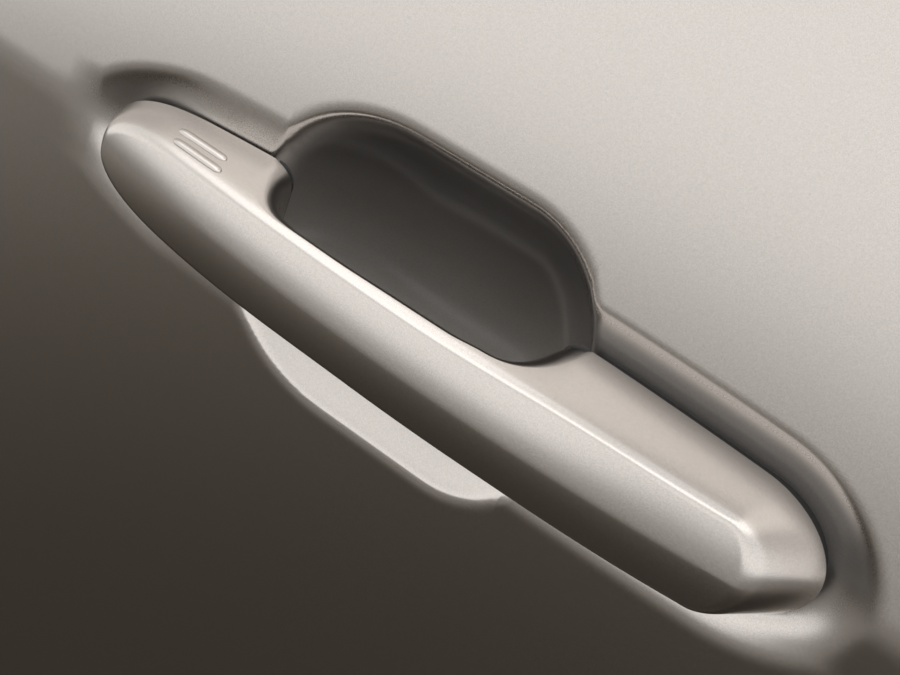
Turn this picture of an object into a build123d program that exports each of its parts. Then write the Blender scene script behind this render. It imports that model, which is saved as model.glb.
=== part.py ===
from build123d import *
import math
import os

# Exterior pull handle of a car, set in its pressed recess of the door skin.
# Millimetres. X runs along the handle: -X is the nose at the car's front, +X is the tail.
# The outside of the door faces -Y and +Z is up. The origin lies on the skin's crest line,
# at the middle of the grip. "Proud" is a height outwards from the origin, so y = -proud.

TINY = 0.001
EDGE_TEST = 0.2             # tolerance of the tests that choose edges
THROUGH = 3.0               # how far a cutter reaches either side of a sheet
OVERRUN = 10.0              # how far a working form runs on past the piece it shapes

# Door skin
SHEET = 0.8                 # thickness of the pressed sheet
PATCH_NOSE_X = -212.0       # cut edges of the section of skin
PATCH_TAIL_X = 172.0
PATCH_TOP_Z = 140.0
PATCH_LOW_Z = -262.0
CREST_ROUND = 60.0          # radius along the crest of the door
UPPER_LEAN = 5.0            # degrees that the skin leans back above the crest
LOWER_LEAN = 5.0            # degrees that it turns under below the crest

# Channel that the handle stands in
CHANNEL_FLOOR = -5.0        # proud
FLOOR_MARGIN = 2.4          # floor beyond the foot of the handle
SLOPE_SIDE = 17.3           # degrees of its slopes to the skin, at the flanks
SLOPE_TAIL = 23.0           # and at the two ends
SLOPE_NOSE = 18.5
ABOVE = 8.0                 # proud of every tool that cuts the skin from outside
BEHIND = -90.0              # back of the working block
RIM_ROUND = 3.2             # outer radius where slope meets skin

# Cup for the fingers, a round trough turned about a line in front of the skin
CUP_DEPTH = 30.0
CUP_HALF_HEIGHT = 48.0
CUP_RISE = 1.5              # of its middle over the crest line
CUP_NOSE_X = -86.0          # ends of its mouth
CUP_TAIL_X = 31.5
CUP_FLAT_NOSE_X = -39.0     # ends of its straight middle
CUP_FLAT_TAIL_X = -2.0

# Handle, outer form
BACK_EDGE = -1.5            # proud of the shell's rear edge
CREST_PROUD = 26.2          # crest of the grip at its middle
CREST_BOW = 600.0           # radius of the bowed crest, seen from above
FLANK_PROUD = 19.9          # front face carried on to the flank height below
FLANK_BOW = 880.0
FLANK_HEIGHT = 22.0
FOOT_HALF_MID = 21.8        # half height of the foot at the grip's middle
FOOT_HALF_TAIL = 19.5
FOOT_HALF_NOSE = 18.0
TAIL_CENTRE_X = 82.8        # centres of the two rounded ends
NOSE_CENTRE_X = -98.0
TAIL_REACH = 24.3           # from those centres to the tips of the foot
NOSE_REACH = 38.5
SIDE_DRAFT = 19.7           # degrees
TAIL_TAPER = 0.90           # share of its reach that each end loses up to the crest's height
NOSE_TAPER = 0.29
OVER = 0.1                  # height of a form's outline above its crest
EDGE_ROUND = 2.2
WALL = 2.5                  # shell thickness

# Finger gap through the handle
GAP_NOSE_X = -76.5          # at the seam between shell and core
GAP_TAIL_X = 28.6
SEAM_PROUD = 18.6
GAP_NOSE_LEAN = 10.5        # degrees of its two end walls
GAP_TAIL_LEAN = 19.0
GAP_NOSE_ROUND = 20.0
GAP_TAIL_ROUND = 16.6
CORE_LINING = 7.0           # core showing round the gap
CORE_ROUND = 5.0
FIT = 0.15                  # free fit between moulded pieces
FOOT_PLATE = 4.0

SWITCH_RIB_LENGTH = 14.0    # the two raised ribs of the touch switch
SWITCH_RIB_WIDTH = 1.4
SWITCH_RIB_HEIGHT = 0.5
SWITCH_RIB_PITCH = 3.0
SWITCH_RIB_X = -93.0
SWITCH_RIB_PROUD = 10.5

# Hinge at the nose, behind the skin
NOSE_TIP_X = NOSE_CENTRE_X - NOSE_REACH
FORM_HALF = OVERRUN - NOSE_TIP_X
HINGE_FROM_TIP = 15.5
HINGE_X = NOSE_TIP_X + HINGE_FROM_TIP
HINGE_PROUD = -24.0
HINGE_PIN = 5.0             # diameter
HINGE_PLAY = 0.05           # radial, in the arm's eye
ARM_EYE = 14.0              # diameter
ARM_STEP = 1.5              # from the pin to the arm's near face, where it passes through the skin
ARM_THICK = 11.0
ARM_NOSE_X = HINGE_X + ARM_STEP
ARM_TAIL_X = ARM_NOSE_X + ARM_THICK
ARM_HALF = 5.0              # half its height
EYE_HALF = 7.0
ARM_SWING = 5.0             # room for the arm towards the nose, and behind it
ARM_ROOM = 3.0

# Pull hook at the tail
HOOK_X = 66.0               # middle of its blade
HOOK_BLADE = 6.0
HOOK_HALF = 7.0
HOOK_TOE_PROUD = -52.0      # face of the toe that pulls the lever's finger
HOOK_TOE_DEPTH = 6.0
HOOK_TOE_LOW_Z = -4.0
HOOK_TOE_TAIL_X = 83.0
HOOK_ROOM = 8.0             # clear length beyond hook and toe in the skin's opening

# Bell crank that the hook turns
CRANK_PLATE = 8.0
TOE_PAST_PLATE = 2.0        # length of the toe beyond the crank's plate
CRANK_PLATE_TAIL_X = HOOK_TOE_TAIL_X - TOE_PAST_PLATE
CRANK_PLATE_NOSE_X = CRANK_PLATE_TAIL_X - CRANK_PLATE
CRANK_HUB = 16.0
HUB_FOR_SPRING = 13.5       # length of the hub either side of the plate
HUB_FOR_TAIL = 9.5
CRANK_HUB_NOSE_X = CRANK_PLATE_NOSE_X - HUB_FOR_SPRING
CRANK_HUB_TAIL_X = CRANK_PLATE_TAIL_X + HUB_FOR_TAIL
FINGER_REACH = 30.0
FINGER_ROUND = 4.0
FINGER_NECK = 2.6           # half width of the finger behind its rounded end
FINGER_ANGLE = 60.0         # degrees from inwards (+Y) towards +Z, at rest
FINGER_GAP = 0.9            # between finger and toe at rest
LIMB_ROOT_INSET = 0.5       # of each limb's root inside the hub
CRANK_PIN = 6.0
CRANK_PLAY = 0.05
CRANK_Z = -30.0
CRANK_PROUD = HOOK_TOE_PROUD + FINGER_GAP + FINGER_ROUND + FINGER_REACH * math.cos(math.radians(FINGER_ANGLE))
ROD_REACH = 27.0
ROD_ANGLE = -73.0
ROD_EYE = 3.2
ROD_EYE_RIM = 5.5
WEIGHT_REACH = 22.0
WEIGHT_ROUND = 9.0
WEIGHT_ANGLE = -20.0
WEIGHT_LENGTH = 14.0
WEIGHT_RIVET = 5.0

# Base frame behind the skin
FRAME_FRONT = -11.0         # proud of its plate's outer face
FRAME_PLATE = 3.0
FRAME_MARGIN = 7.0          # of its plate beyond the handle's two tips
FRAME_NOSE_X = NOSE_TIP_X - FRAME_MARGIN
FRAME_TAIL_X = TAIL_CENTRE_X + TAIL_REACH + FRAME_MARGIN
FRAME_HALF = 56.0
FRAME_CORNER = 24.0
WINDOW_PLAY = 2.0           # round the cup at its ends
FRAME_WINDOW_NOSE_X = CUP_NOSE_X - WINDOW_PLAY
FRAME_WINDOW_TAIL_X = CUP_TAIL_X + WINDOW_PLAY
FRAME_WINDOW_HALF = 46.0
FRAME_WINDOW_CORNER = 30.0
FRAME_RIB = 7.0             # how far ribs stand in from the plate
FRAME_RIB_THICK = 2.4
CHEEK = 4.0                 # thickness of the cheeks that carry the pins
CHEEK_PLAY = 0.5
CHEEK_SHOULDER = 3.0        # how much wider a cheek's root is than the crank's hub, each side
ARM_SLOT_PLAY = 1.0         # round the skin's front opening, in the frame's plate
HEAD_CLEAR = 1.0            # round a screw's head, where it meets a wall of the frame
PIN_END = 1.0               # length of a pin beyond its last cheek
PIN_HEAD_RIM = 1.75         # how far a pin's head stands out round it
PIN_HEAD_HEIGHT = 1.5

# Openings in the skin
FRONT_OPENING_NOSE_X = ARM_NOSE_X - ARM_SWING
FRONT_OPENING_TAIL_X = ARM_TAIL_X + ARM_ROOM
REAR_OPENING_NOSE_X = HOOK_X - HOOK_BLADE / 2 - HOOK_ROOM
REAR_OPENING_TAIL_X = HOOK_TOE_TAIL_X + HOOK_ROOM
REAR_OPENING_HALF = 11.0
OPENING_INSET = 5.2         # from the handle's foot
OPENING_ROUND = 4.0

# Screws through the frame into clinch nuts in the channel's floor
NUT_SPACING = 8.5           # from an opening to a screw
SCREW_XS = (FRONT_OPENING_TAIL_X + NUT_SPACING, REAR_OPENING_NOSE_X - NUT_SPACING,
            REAR_OPENING_TAIL_X + NUT_SPACING)
SCREW = 5.0
SCREW_HEAD = 9.0
SCREW_HEAD_HEIGHT = 3.0
BOSS = 12.0
NUT_FLANGE = 10.0
NUT_SHANK = 7.0
NUT_HEIGHT = 1.6

# Rubber pads between handle and channel
PAD_INSET = 1.2
PAD_GAP = 0.3               # below the handle's foot
PAD_FALL_FROM_HINGE = 6.0   # the pad falls away from here towards the nose
PAD_FALL_X = HINGE_X + PAD_FALL_FROM_HINGE
PAD_FALL = 9.0              # degrees
PAD_FROM_GAP = 2.5
FRONT_PAD_TAIL_X = GAP_NOSE_X - PAD_FROM_GAP
REAR_PAD_NOSE_X = GAP_TAIL_X + PAD_FROM_GAP
PAD_WINDOW = 1.0            # room round the skin's openings
PAD_CLEAR = 2.0             # from the mouth of the cup
NUT_CLEAR = 1.0

# Screws that hold the shell to the core
SHELL_SCREW_FROM_ARM = 7.5
SHELL_SCREW_FROM_GAP = 11.5
SHELL_SCREW_FROM_TAIL = 9.0
SHELL_SCREW_XS = (ARM_TAIL_X + SHELL_SCREW_FROM_ARM, GAP_TAIL_X + SHELL_SCREW_FROM_GAP,
                  TAIL_CENTRE_X + SHELL_SCREW_FROM_TAIL)
SHELL_SCREW = 3.0
SHELL_SCREW_HEAD = 6.0
SHELL_SCREW_HEAD_HEIGHT = 1.6
SHELL_SCREW_LENGTH = 10.0
SHELL_BOSS = 7.0

# Torsion spring round the crank's hub
SPRING_WIRE = 2.0
SPRING_TURNS = 4
SPRING_TURN_GAP = 0.24      # between its turns
SPRING_PLAY = 0.8           # round the hub
SPRING_SEAT = 0.3           # between its leg and the frame's plate


def wall_plane(proud):
    """Plane parallel to the door at a height outwards; local y is up."""
    return Plane(origin=(0, -proud, 0), x_dir=(1, 0, 0), z_dir=(0, -1, 0))


def plan_plane(z):
    """Level plane seen from above with local y pointing outwards, so its normal is down."""
    return Plane(origin=(0, 0, z), x_dir=(1, 0, 0), z_dir=(0, 0, -1))


def leaf_outline(tail_reach, nose_reach, half_tail, half_mid, half_nose):
    """Outline of the handle's kind: two elliptical ends and two bowed flanks."""
    tail = EllipticalCenterArc((TAIL_CENTRE_X, 0), tail_reach, half_tail, -90, arc_size=180)
    nose = EllipticalCenterArc((NOSE_CENTRE_X, 0), nose_reach, half_nose, 90, arc_size=180)
    top = ThreePointArc((TAIL_CENTRE_X, half_tail), (0, half_mid), (NOSE_CENTRE_X, half_nose))
    low = ThreePointArc((NOSE_CENTRE_X, -half_nose), (0, -half_mid), (TAIL_CENTRE_X, -half_tail))
    return make_face(Curve() + [tail, top, nose, low])


def handle_section(proud, inset):
    """Outline of the handle at one height; flanks and ends lean in by their own amounts."""
    rise = proud - BACK_EDGE
    share = rise / (CREST_PROUD - BACK_EDGE)
    side = rise * math.tan(math.radians(SIDE_DRAFT)) + inset
    tail = TAIL_REACH * TAIL_TAPER * share + inset
    nose = NOSE_REACH * NOSE_TAPER * share + inset
    outline = leaf_outline(TAIL_REACH - tail, NOSE_REACH - nose,
                           FOOT_HALF_TAIL - side, FOOT_HALF_MID - side, FOOT_HALF_NOSE - side)
    return wall_plane(proud) * outline


def front_plan(z, proud, bow, low):
    """Plan of the front form at one level: a bowed front and square back."""
    half = FORM_HALF
    sag = bow - math.sqrt(bow * bow - half * half)
    front = ThreePointArc((-half, proud - sag), (0, proud), (half, proud - sag))
    back = Polyline((half, proud - sag), (half, low), (-half, low), (-half, proud - sag))
    return plan_plane(z) * make_face(Curve() + [front, back])


def front_height(x, z):
    """Proud of the front face over a point of the door's plane."""
    crest = CREST_PROUD - CREST_BOW + math.sqrt(CREST_BOW ** 2 - x ** 2)
    flank = FLANK_PROUD - FLANK_BOW + math.sqrt(FLANK_BOW ** 2 - x ** 2)
    return crest + (flank - crest) * abs(z) / FLANK_HEIGHT


def front_form(inset, low):
    """Two bowed facets that meet in the crest."""
    flank = front_plan(FLANK_HEIGHT, FLANK_PROUD - inset, FLANK_BOW, low)
    crest = front_plan(0, CREST_PROUD - inset, CREST_BOW, low)
    under = front_plan(-FLANK_HEIGHT, FLANK_PROUD - inset, FLANK_BOW, low)
    return loft([under, crest, flank], ruled=True)


def handle_form(inset, low):
    """Handle without its finger gap, drawn in by an inset, down to a height."""
    top = CREST_PROUD - inset + OVER
    sides = loft([handle_section(low, inset), handle_section(top, inset)], ruled=True)
    return sides & front_form(inset, low - 1)


def gap_form(lining):
    """Finger gap as a prism across the handle, made smaller by a lining."""
    top = SEAM_PROUD - lining
    nose_run = math.tan(math.radians(GAP_NOSE_LEAN))
    tail_run = math.tan(math.radians(GAP_TAIL_LEAN))
    nose_x, tail_x = GAP_NOSE_X + lining, GAP_TAIL_X - lining
    corners = [(nose_x + BEHIND * nose_run, BEHIND), (nose_x + top * nose_run, top),
               (tail_x - top * tail_run, top), (tail_x - BEHIND * tail_run, BEHIND)]
    face = make_face(Polyline(*corners, close=True))
    face = fillet(face.vertices().sort_by(Axis.Y)[-2:].sort_by(Axis.X)[:1], GAP_NOSE_ROUND - lining)
    past_nose = corners[1][0] + GAP_NOSE_ROUND
    tail_corner = [v for v in face.vertices() if abs(v.Y - top) < TINY and v.X > past_nose]
    face = fillet(tail_corner, GAP_TAIL_ROUND - lining)
    return extrude(plan_plane(2 * FOOT_HALF_MID) * face, 4 * FOOT_HALF_MID)


def channel_section(proud, grow):
    """Channel's outline at one height; its slopes run out from the floor by their own angles."""
    rise = proud - CHANNEL_FLOOR

    def out(angle):
        a = math.radians(angle)
        return FLOOR_MARGIN + rise / math.tan(a) + grow / math.sin(a)

    side, tail, nose = out(SLOPE_SIDE), out(SLOPE_TAIL), out(SLOPE_NOSE)
    outline = leaf_outline(TAIL_REACH + tail, NOSE_REACH + nose,
                           FOOT_HALF_TAIL + side, FOOT_HALF_MID + side, FOOT_HALF_NOSE + side)
    return wall_plane(proud) * outline


def channel_form(grow):
    """Body of the channel, grown by the sheet for its inner face."""
    return loft([channel_section(CHANNEL_FLOOR - grow, grow), channel_section(ABOVE, grow)], ruled=True)


def cup_form(grow):
    """Trough of the cup: a straight middle and an elliptical end each way, turned about a line along X."""
    turn = (CUP_DEPTH ** 2 + CUP_HALF_HEIGHT ** 2) / (2 * CUP_DEPTH)
    line = turn - CUP_DEPTH
    depth = CUP_DEPTH + grow
    tail_run = CUP_TAIL_X - CUP_FLAT_TAIL_X + grow
    nose_run = CUP_FLAT_NOSE_X - CUP_NOSE_X + grow
    edges = Curve() + [
        EllipticalCenterArc((CUP_FLAT_NOSE_X, 0), nose_run, depth, 180, arc_size=90),
        Line((CUP_FLAT_NOSE_X, -depth), (CUP_FLAT_TAIL_X, -depth)),
        EllipticalCenterArc((CUP_FLAT_TAIL_X, 0), tail_run, depth, 270, arc_size=90),
        Polyline((CUP_FLAT_TAIL_X + tail_run, 0), (CUP_FLAT_TAIL_X + tail_run, line),
                 (CUP_FLAT_NOSE_X - nose_run, line), (CUP_FLAT_NOSE_X - nose_run, 0)),
    ]
    face = plan_plane(CUP_RISE) * make_face(edges)
    return revolve(face, Axis((0, -line, CUP_RISE), (1, 0, 0)))


def skin_block(back):
    """Solid whose front is the skin's face, moved inwards by a thickness."""
    upper, lower = math.radians(UPPER_LEAN), math.radians(LOWER_LEAN)
    top = -PATCH_TOP_Z * math.tan(upper) - back / math.cos(upper)
    low = PATCH_LOW_Z * math.tan(lower) - back / math.cos(lower)
    corner_z = back * (1 / math.cos(lower) - 1 / math.cos(upper)) / (math.tan(upper) + math.tan(lower))
    corner = -corner_z * math.tan(upper) - back / math.cos(upper)
    outline = Polyline((PATCH_TOP_Z, top), (corner_z, corner), (PATCH_LOW_Z, low),
                       (PATCH_LOW_Z, BEHIND), (PATCH_TOP_Z, BEHIND), close=True)
    face = make_face(outline)
    crest = [v for v in face.vertices() if abs(v.X - corner_z) < TINY and abs(v.Y - corner) < TINY]
    face = fillet(crest, CREST_ROUND - back)
    end = Plane(origin=(PATCH_NOSE_X, 0, 0), x_dir=(0, 0, 1), z_dir=(1, 0, 0))
    return extrude(end * face, PATCH_TAIL_X - PATCH_NOSE_X)


def bar(x0, x1, proud0, proud1, z0, z1):
    """Straight block between two corners given by x, proud and z."""
    box = Box(x1 - x0, proud1 - proud0, z1 - z0)
    return Pos((x0 + x1) / 2, -(proud0 + proud1) / 2, (z0 + z1) / 2) * box


def pin(point, direction, diameter, length):
    """Round bar of a length from a point along a direction."""
    plane = Plane(origin=point, z_dir=direction)
    return extrude(plane * Circle(diameter / 2), length)


def long_edges(shape, accept):
    """Edges of a shape whose middle satisfies a test on x, proud and z."""
    middles = [(e, e @ 0.5) for e in shape.edges()]
    return [e for e, at in middles if accept(at.X, -at.Y, at.Z)]


def rounded_skin_form(grow):
    """One face of the skin: the leaning sheet with channel and cup sunk in and their rims rounded."""
    form = skin_block(grow) - channel_form(grow) - cup_form(grow)
    floor = CHANNEL_FLOOR - grow
    crest_half = CREST_ROUND * math.tan(math.radians(UPPER_LEAN + LOWER_LEAN) / 2)

    def on_rim(x, proud, z):
        inside = PATCH_NOSE_X + EDGE_TEST < x < PATCH_TAIL_X - EDGE_TEST
        inside = inside and PATCH_LOW_Z + EDGE_TEST < z < PATCH_TOP_Z - EDGE_TEST
        return inside and abs(z) > crest_half + EDGE_TEST and proud > floor + EDGE_TEST

    return fillet(long_edges(form, on_rim), RIM_ROUND - grow / 2)


def foot_outline(inset):
    """Outline of the handle's foot, drawn in by an inset."""
    return leaf_outline(TAIL_REACH - inset, NOSE_REACH - inset,
                        FOOT_HALF_TAIL - inset, FOOT_HALF_MID - inset, FOOT_HALF_NOSE - inset)


def band(nose_x, tail_x, half=2 * FOOT_HALF_MID):
    """Rectangle between two stations along the handle."""
    return Pos((nose_x + tail_x) / 2, 0) * Rectangle(tail_x - nose_x, 2 * half)


def front_window(grow):
    """Opening for the hinge arm; it keeps inside the handle's foot."""
    stations = band(FRONT_OPENING_NOSE_X - grow, FRONT_OPENING_TAIL_X + grow)
    return foot_outline(OPENING_INSET - grow) & stations


def rear_window(grow):
    """Opening for the pull hook, grown for the pad round it."""
    middle = (REAR_OPENING_NOSE_X + REAR_OPENING_TAIL_X) / 2
    long = REAR_OPENING_TAIL_X - REAR_OPENING_NOSE_X + 2 * grow
    return Pos(middle, 0) * RectangleRounded(long, 2 * (REAR_OPENING_HALF + grow), OPENING_ROUND + grow)


def through(outline, proud0, proud1):
    """Prism of an outline between two heights."""
    return extrude(wall_plane(proud0) * outline, proud1 - proud0)


def make_door_skin():
    skin = rounded_skin_form(0) - rounded_skin_form(SHEET)
    front = front_window(0)
    rear = rear_window(0)
    skin -= through(front, CHANNEL_FLOOR - THROUGH, CHANNEL_FLOOR + THROUGH)
    skin -= through(rear, CHANNEL_FLOOR - THROUGH, CHANNEL_FLOOR + THROUGH)
    for x in SCREW_XS:
        skin -= pin((x, -(CHANNEL_FLOOR + THROUGH), 0), (0, 1, 0), NUT_SHANK, 2 * THROUGH)
    return skin


def rounded_handle():
    """Outer form with its ridge and crest rounded, before anything is cut."""
    form = handle_form(0, BACK_EDGE)
    front_edges = long_edges(form, lambda x, p, z: abs(p - front_height(x, z)) < TINY + OVER)
    return fillet(front_edges, EDGE_ROUND)


def switch_ribs():
    """Two raised ribs of the touch switch, on the top wall near the nose."""
    x0, x1 = SWITCH_RIB_X - SWITCH_RIB_LENGTH / 2, SWITCH_RIB_X + SWITCH_RIB_LENGTH / 2
    raised = handle_form(-SWITCH_RIB_HEIGHT, BACK_EDGE)
    ribs = []
    for side in (-1, 1):
        middle = SWITCH_RIB_PROUD + side * SWITCH_RIB_PITCH / 2
        low, high = middle - SWITCH_RIB_WIDTH / 2, middle + SWITCH_RIB_WIDTH / 2
        ribs.append(raised & bar(x0, x1, low, high, FOOT_HALF_NOSE / 2, FOOT_HALF_MID))
    return ribs


def make_shell(form):
    """Painted cover: one skin from nose to tail, open at the back and at the finger gap."""
    hollow = handle_form(WALL, BACK_EDGE - 1)
    shell = (form + switch_ribs()) - gap_form(0) - hollow
    bottom = BACK_EDGE + FOOT_PLATE
    for x in SHELL_SCREW_XS:
        boss = pin((x, -bottom, 0), (0, -1, 0), SHELL_BOSS, CREST_PROUD)
        shell += boss & handle_form(WALL - FIT, BACK_EDGE)
        shell -= pin((x, -BACK_EDGE, 0), (0, -1, 0), SHELL_SCREW, SHELL_SCREW_LENGTH)
    return shell


def core_lining(form):
    """Lining of the finger gap, with its mouth rounded for the fingers."""
    lining = (form & gap_form(0)) - gap_form(CORE_LINING)

    def on_mouth(x, p, z):
        along = GAP_NOSE_X + CORE_LINING / 2 < x < GAP_TAIL_X - CORE_LINING / 2
        return along and p < SEAM_PROUD - CORE_LINING + EDGE_TEST and abs(z) > FOOT_HALF_NOSE / 2

    return fillet(long_edges(lining, on_mouth), CORE_ROUND)


def hinge_arm():
    """Arm from the nose to the hinge pin, with an eye."""
    start = BACK_EDGE + FOOT_PLATE / 2
    bend = HINGE_PROUD + ARM_EYE / 2
    side = Polyline((ARM_NOSE_X, start), (ARM_TAIL_X, start), (ARM_TAIL_X, bend),
                    (HINGE_X, HINGE_PROUD - ARM_EYE / 2), (HINGE_X, HINGE_PROUD), (ARM_NOSE_X, HINGE_PROUD),
                    close=True)
    arm = extrude(plan_plane(ARM_HALF) * make_face(side), 2 * ARM_HALF)
    arm += pin((HINGE_X, -HINGE_PROUD, -EYE_HALF), (0, 0, 1), ARM_EYE, 2 * EYE_HALF)
    bore = HINGE_PIN + 2 * HINGE_PLAY
    return arm - pin((HINGE_X, -HINGE_PROUD, -EYE_HALF), (0, 0, 1), bore, 2 * EYE_HALF)


def pull_hook():
    """Blade through the skin with a toe that pulls the crank's finger outwards."""
    x0, x1 = HOOK_X - HOOK_BLADE / 2, HOOK_X + HOOK_BLADE / 2
    end = HOOK_TOE_PROUD - HOOK_TOE_DEPTH
    blade = bar(x0, x1, end, BACK_EDGE + FOOT_PLATE / 2, -HOOK_HALF, HOOK_HALF)
    toe = bar(HOOK_X, HOOK_TOE_TAIL_X, end, HOOK_TOE_PROUD, HOOK_TOE_LOW_Z, HOOK_HALF)
    return blade + toe


def make_core(form):
    """Moulded inner half: gap lining, foot plates, hinge arm and pull hook in one piece."""
    inner = handle_form(WALL + FIT, BACK_EDGE)
    slab = bar(-FORM_HALF, FORM_HALF, BACK_EDGE, BACK_EDGE + FOOT_PLATE, -FORM_HALF, FORM_HALF)
    plates = (inner & slab) - gap_form(0)
    core = core_lining(form) + plates + hinge_arm() + pull_hook()
    for x in SHELL_SCREW_XS:
        core -= pin((x, -BACK_EDGE, 0), (0, -1, 0), SHELL_SCREW, FOOT_PLATE)
        core -= pin((x, -BACK_EDGE, 0), (0, -1, 0), SHELL_SCREW_HEAD, SHELL_SCREW_HEAD_HEIGHT)
    return core


def make_shell_screws():
    screws = []
    for x in SHELL_SCREW_XS:
        head = pin((x, -BACK_EDGE, 0), (0, -1, 0), SHELL_SCREW_HEAD, SHELL_SCREW_HEAD_HEIGHT)
        screws.append(head + pin((x, -BACK_EDGE, 0), (0, -1, 0), SHELL_SCREW, SHELL_SCREW_LENGTH))
    return Compound(screws)


def pad(outline, holes):
    """Flat rubber pad on the channel's floor, just clear of the handle's foot."""
    top = BACK_EDGE - PAD_GAP
    body = through(outline, CHANNEL_FLOOR, top)
    for hole in holes:
        body -= through(hole, CHANNEL_FLOOR - THROUGH, top + THROUGH)
    return body


def nut_clearance(x):
    return Pos(x, 0) * Circle(NUT_FLANGE / 2 + NUT_CLEAR)


def make_front_pad():
    """Pad under the nose; it falls away where the nose dips as the handle is pulled."""
    outline = foot_outline(PAD_INSET) & band(-FORM_HALF, FRONT_PAD_TAIL_X)
    body = pad(outline, [front_window(PAD_WINDOW), nut_clearance(SCREW_XS[0])]) - cup_form(PAD_CLEAR)
    top = BACK_EDGE - PAD_GAP
    run = PAD_FALL_X + FORM_HALF
    drop = run * math.tan(math.radians(PAD_FALL))
    over = top + OVERRUN
    wedge = Polyline((PAD_FALL_X, top), (PAD_FALL_X, over), (PAD_FALL_X - run, over),
                     (PAD_FALL_X - run, top - drop), close=True)
    return body - extrude(plan_plane(FOOT_HALF_MID) * make_face(wedge), 2 * FOOT_HALF_MID)


def make_rear_pad():
    outline = foot_outline(PAD_INSET) & band(REAR_PAD_NOSE_X, FORM_HALF)
    holes = [rear_window(PAD_WINDOW), nut_clearance(SCREW_XS[1]), nut_clearance(SCREW_XS[2])]
    return pad(outline, holes) - cup_form(PAD_CLEAR)


def frame_outline(inset):
    middle = (FRAME_NOSE_X + FRAME_TAIL_X) / 2
    long = FRAME_TAIL_X - FRAME_NOSE_X - 2 * inset
    return Pos(middle, 0) * RectangleRounded(long, 2 * (FRAME_HALF - inset), FRAME_CORNER - inset)


def frame_window(grow):
    middle = (FRAME_WINDOW_NOSE_X + FRAME_WINDOW_TAIL_X) / 2
    long = FRAME_WINDOW_TAIL_X - FRAME_WINDOW_NOSE_X + 2 * grow
    return Pos(middle, 0) * RectangleRounded(long, 2 * (FRAME_WINDOW_HALF + grow), FRAME_WINDOW_CORNER + grow)


def hinge_cheeks():
    """Two upright cheeks that carry the hinge pin."""
    back = FRAME_FRONT - FRAME_PLATE
    half = ARM_EYE
    side = Polyline((HINGE_X - half, back), (HINGE_X + half, back), (HINGE_X + ARM_EYE / 2, HINGE_PROUD),
                    (HINGE_X - ARM_EYE / 2, HINGE_PROUD), close=True)
    cheeks = []
    for z in (-EYE_HALF - CHEEK_PLAY - CHEEK, EYE_HALF + CHEEK_PLAY):
        cheek = extrude(plan_plane(z + CHEEK) * make_face(side), CHEEK)
        cheek += pin((HINGE_X, -HINGE_PROUD, z), (0, 0, 1), ARM_EYE, CHEEK)
        cheeks.append(cheek - pin((HINGE_X, -HINGE_PROUD, z), (0, 0, 1), HINGE_PIN, CHEEK))
    return cheeks


def crank_cheeks():
    """Two upright cheeks that carry the crank's pin."""
    back = FRAME_FRONT - FRAME_PLATE
    tip = CRANK_HUB / 2
    root = tip + CHEEK_SHOULDER
    side = Polyline((CRANK_Z - root, back), (CRANK_Z + root, back), (CRANK_Z + tip, CRANK_PROUD),
                    (CRANK_Z - tip, CRANK_PROUD), close=True)
    cheeks = []
    for x in (CRANK_HUB_NOSE_X - CHEEK_PLAY - CHEEK, CRANK_HUB_TAIL_X + CHEEK_PLAY):
        cheek = extrude(crank_plane(x) * make_face(side), CHEEK)
        cheek += pin((x, -CRANK_PROUD, CRANK_Z), (1, 0, 0), CRANK_HUB, CHEEK)
        cheeks.append(cheek - pin((x, -CRANK_PROUD, CRANK_Z), (1, 0, 0), CRANK_PIN, CHEEK))
    return cheeks


def make_frame():
    """Moulded base frame: a plate round the cup with stiffening walls, bosses and pin cheeks."""
    back = FRAME_FRONT - FRAME_PLATE
    plate = through(frame_outline(0) - frame_window(0), back, FRAME_FRONT)
    outer_wall = through(frame_outline(0) - frame_outline(FRAME_RIB_THICK), back - FRAME_RIB, back)
    window_wall = through(frame_window(FRAME_RIB_THICK) - frame_window(0), back - FRAME_RIB, back)
    frame = plate + outer_wall + window_wall
    seat = CHANNEL_FLOOR - SHEET
    for x in SCREW_XS:
        frame += pin((x, -back, 0), (0, -1, 0), BOSS, seat - back)
    arm_slot = band(FRONT_OPENING_NOSE_X - 2 * ARM_SLOT_PLAY, FRONT_OPENING_TAIL_X + ARM_SLOT_PLAY,
                    EYE_HALF + CHEEK_PLAY)
    frame -= through(arm_slot, back, FRAME_FRONT)
    frame -= through(rear_window(0), back, FRAME_FRONT)
    frame += hinge_cheeks() + crank_cheeks()
    for x in SCREW_XS:
        frame -= pin((x, -back, 0), (0, -1, 0), SCREW, seat - back)
        frame -= pin((x, -back, 0), (0, 1, 0), SCREW_HEAD + 2 * HEAD_CLEAR, FRAME_RIB)
    return frame


def make_frame_screws():
    back = FRAME_FRONT - FRAME_PLATE
    reach = CHANNEL_FLOOR + NUT_HEIGHT - back
    screws = []
    for x in SCREW_XS:
        head = pin((x, -back, 0), (0, 1, 0), SCREW_HEAD, SCREW_HEAD_HEIGHT)
        screws.append(head + pin((x, -back, 0), (0, -1, 0), SCREW, reach))
    return Compound(screws)


def make_clinch_nuts():
    nuts = []
    for x in SCREW_XS:
        flange = pin((x, -CHANNEL_FLOOR, 0), (0, -1, 0), NUT_FLANGE, NUT_HEIGHT)
        shank = pin((x, -CHANNEL_FLOOR, 0), (0, 1, 0), NUT_SHANK, SHEET)
        bore = pin((x, -CHANNEL_FLOOR + SHEET, 0), (0, -1, 0), SCREW, SHEET + NUT_HEIGHT)
        nuts.append(flange + shank - bore)
    return Compound(nuts)


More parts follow.
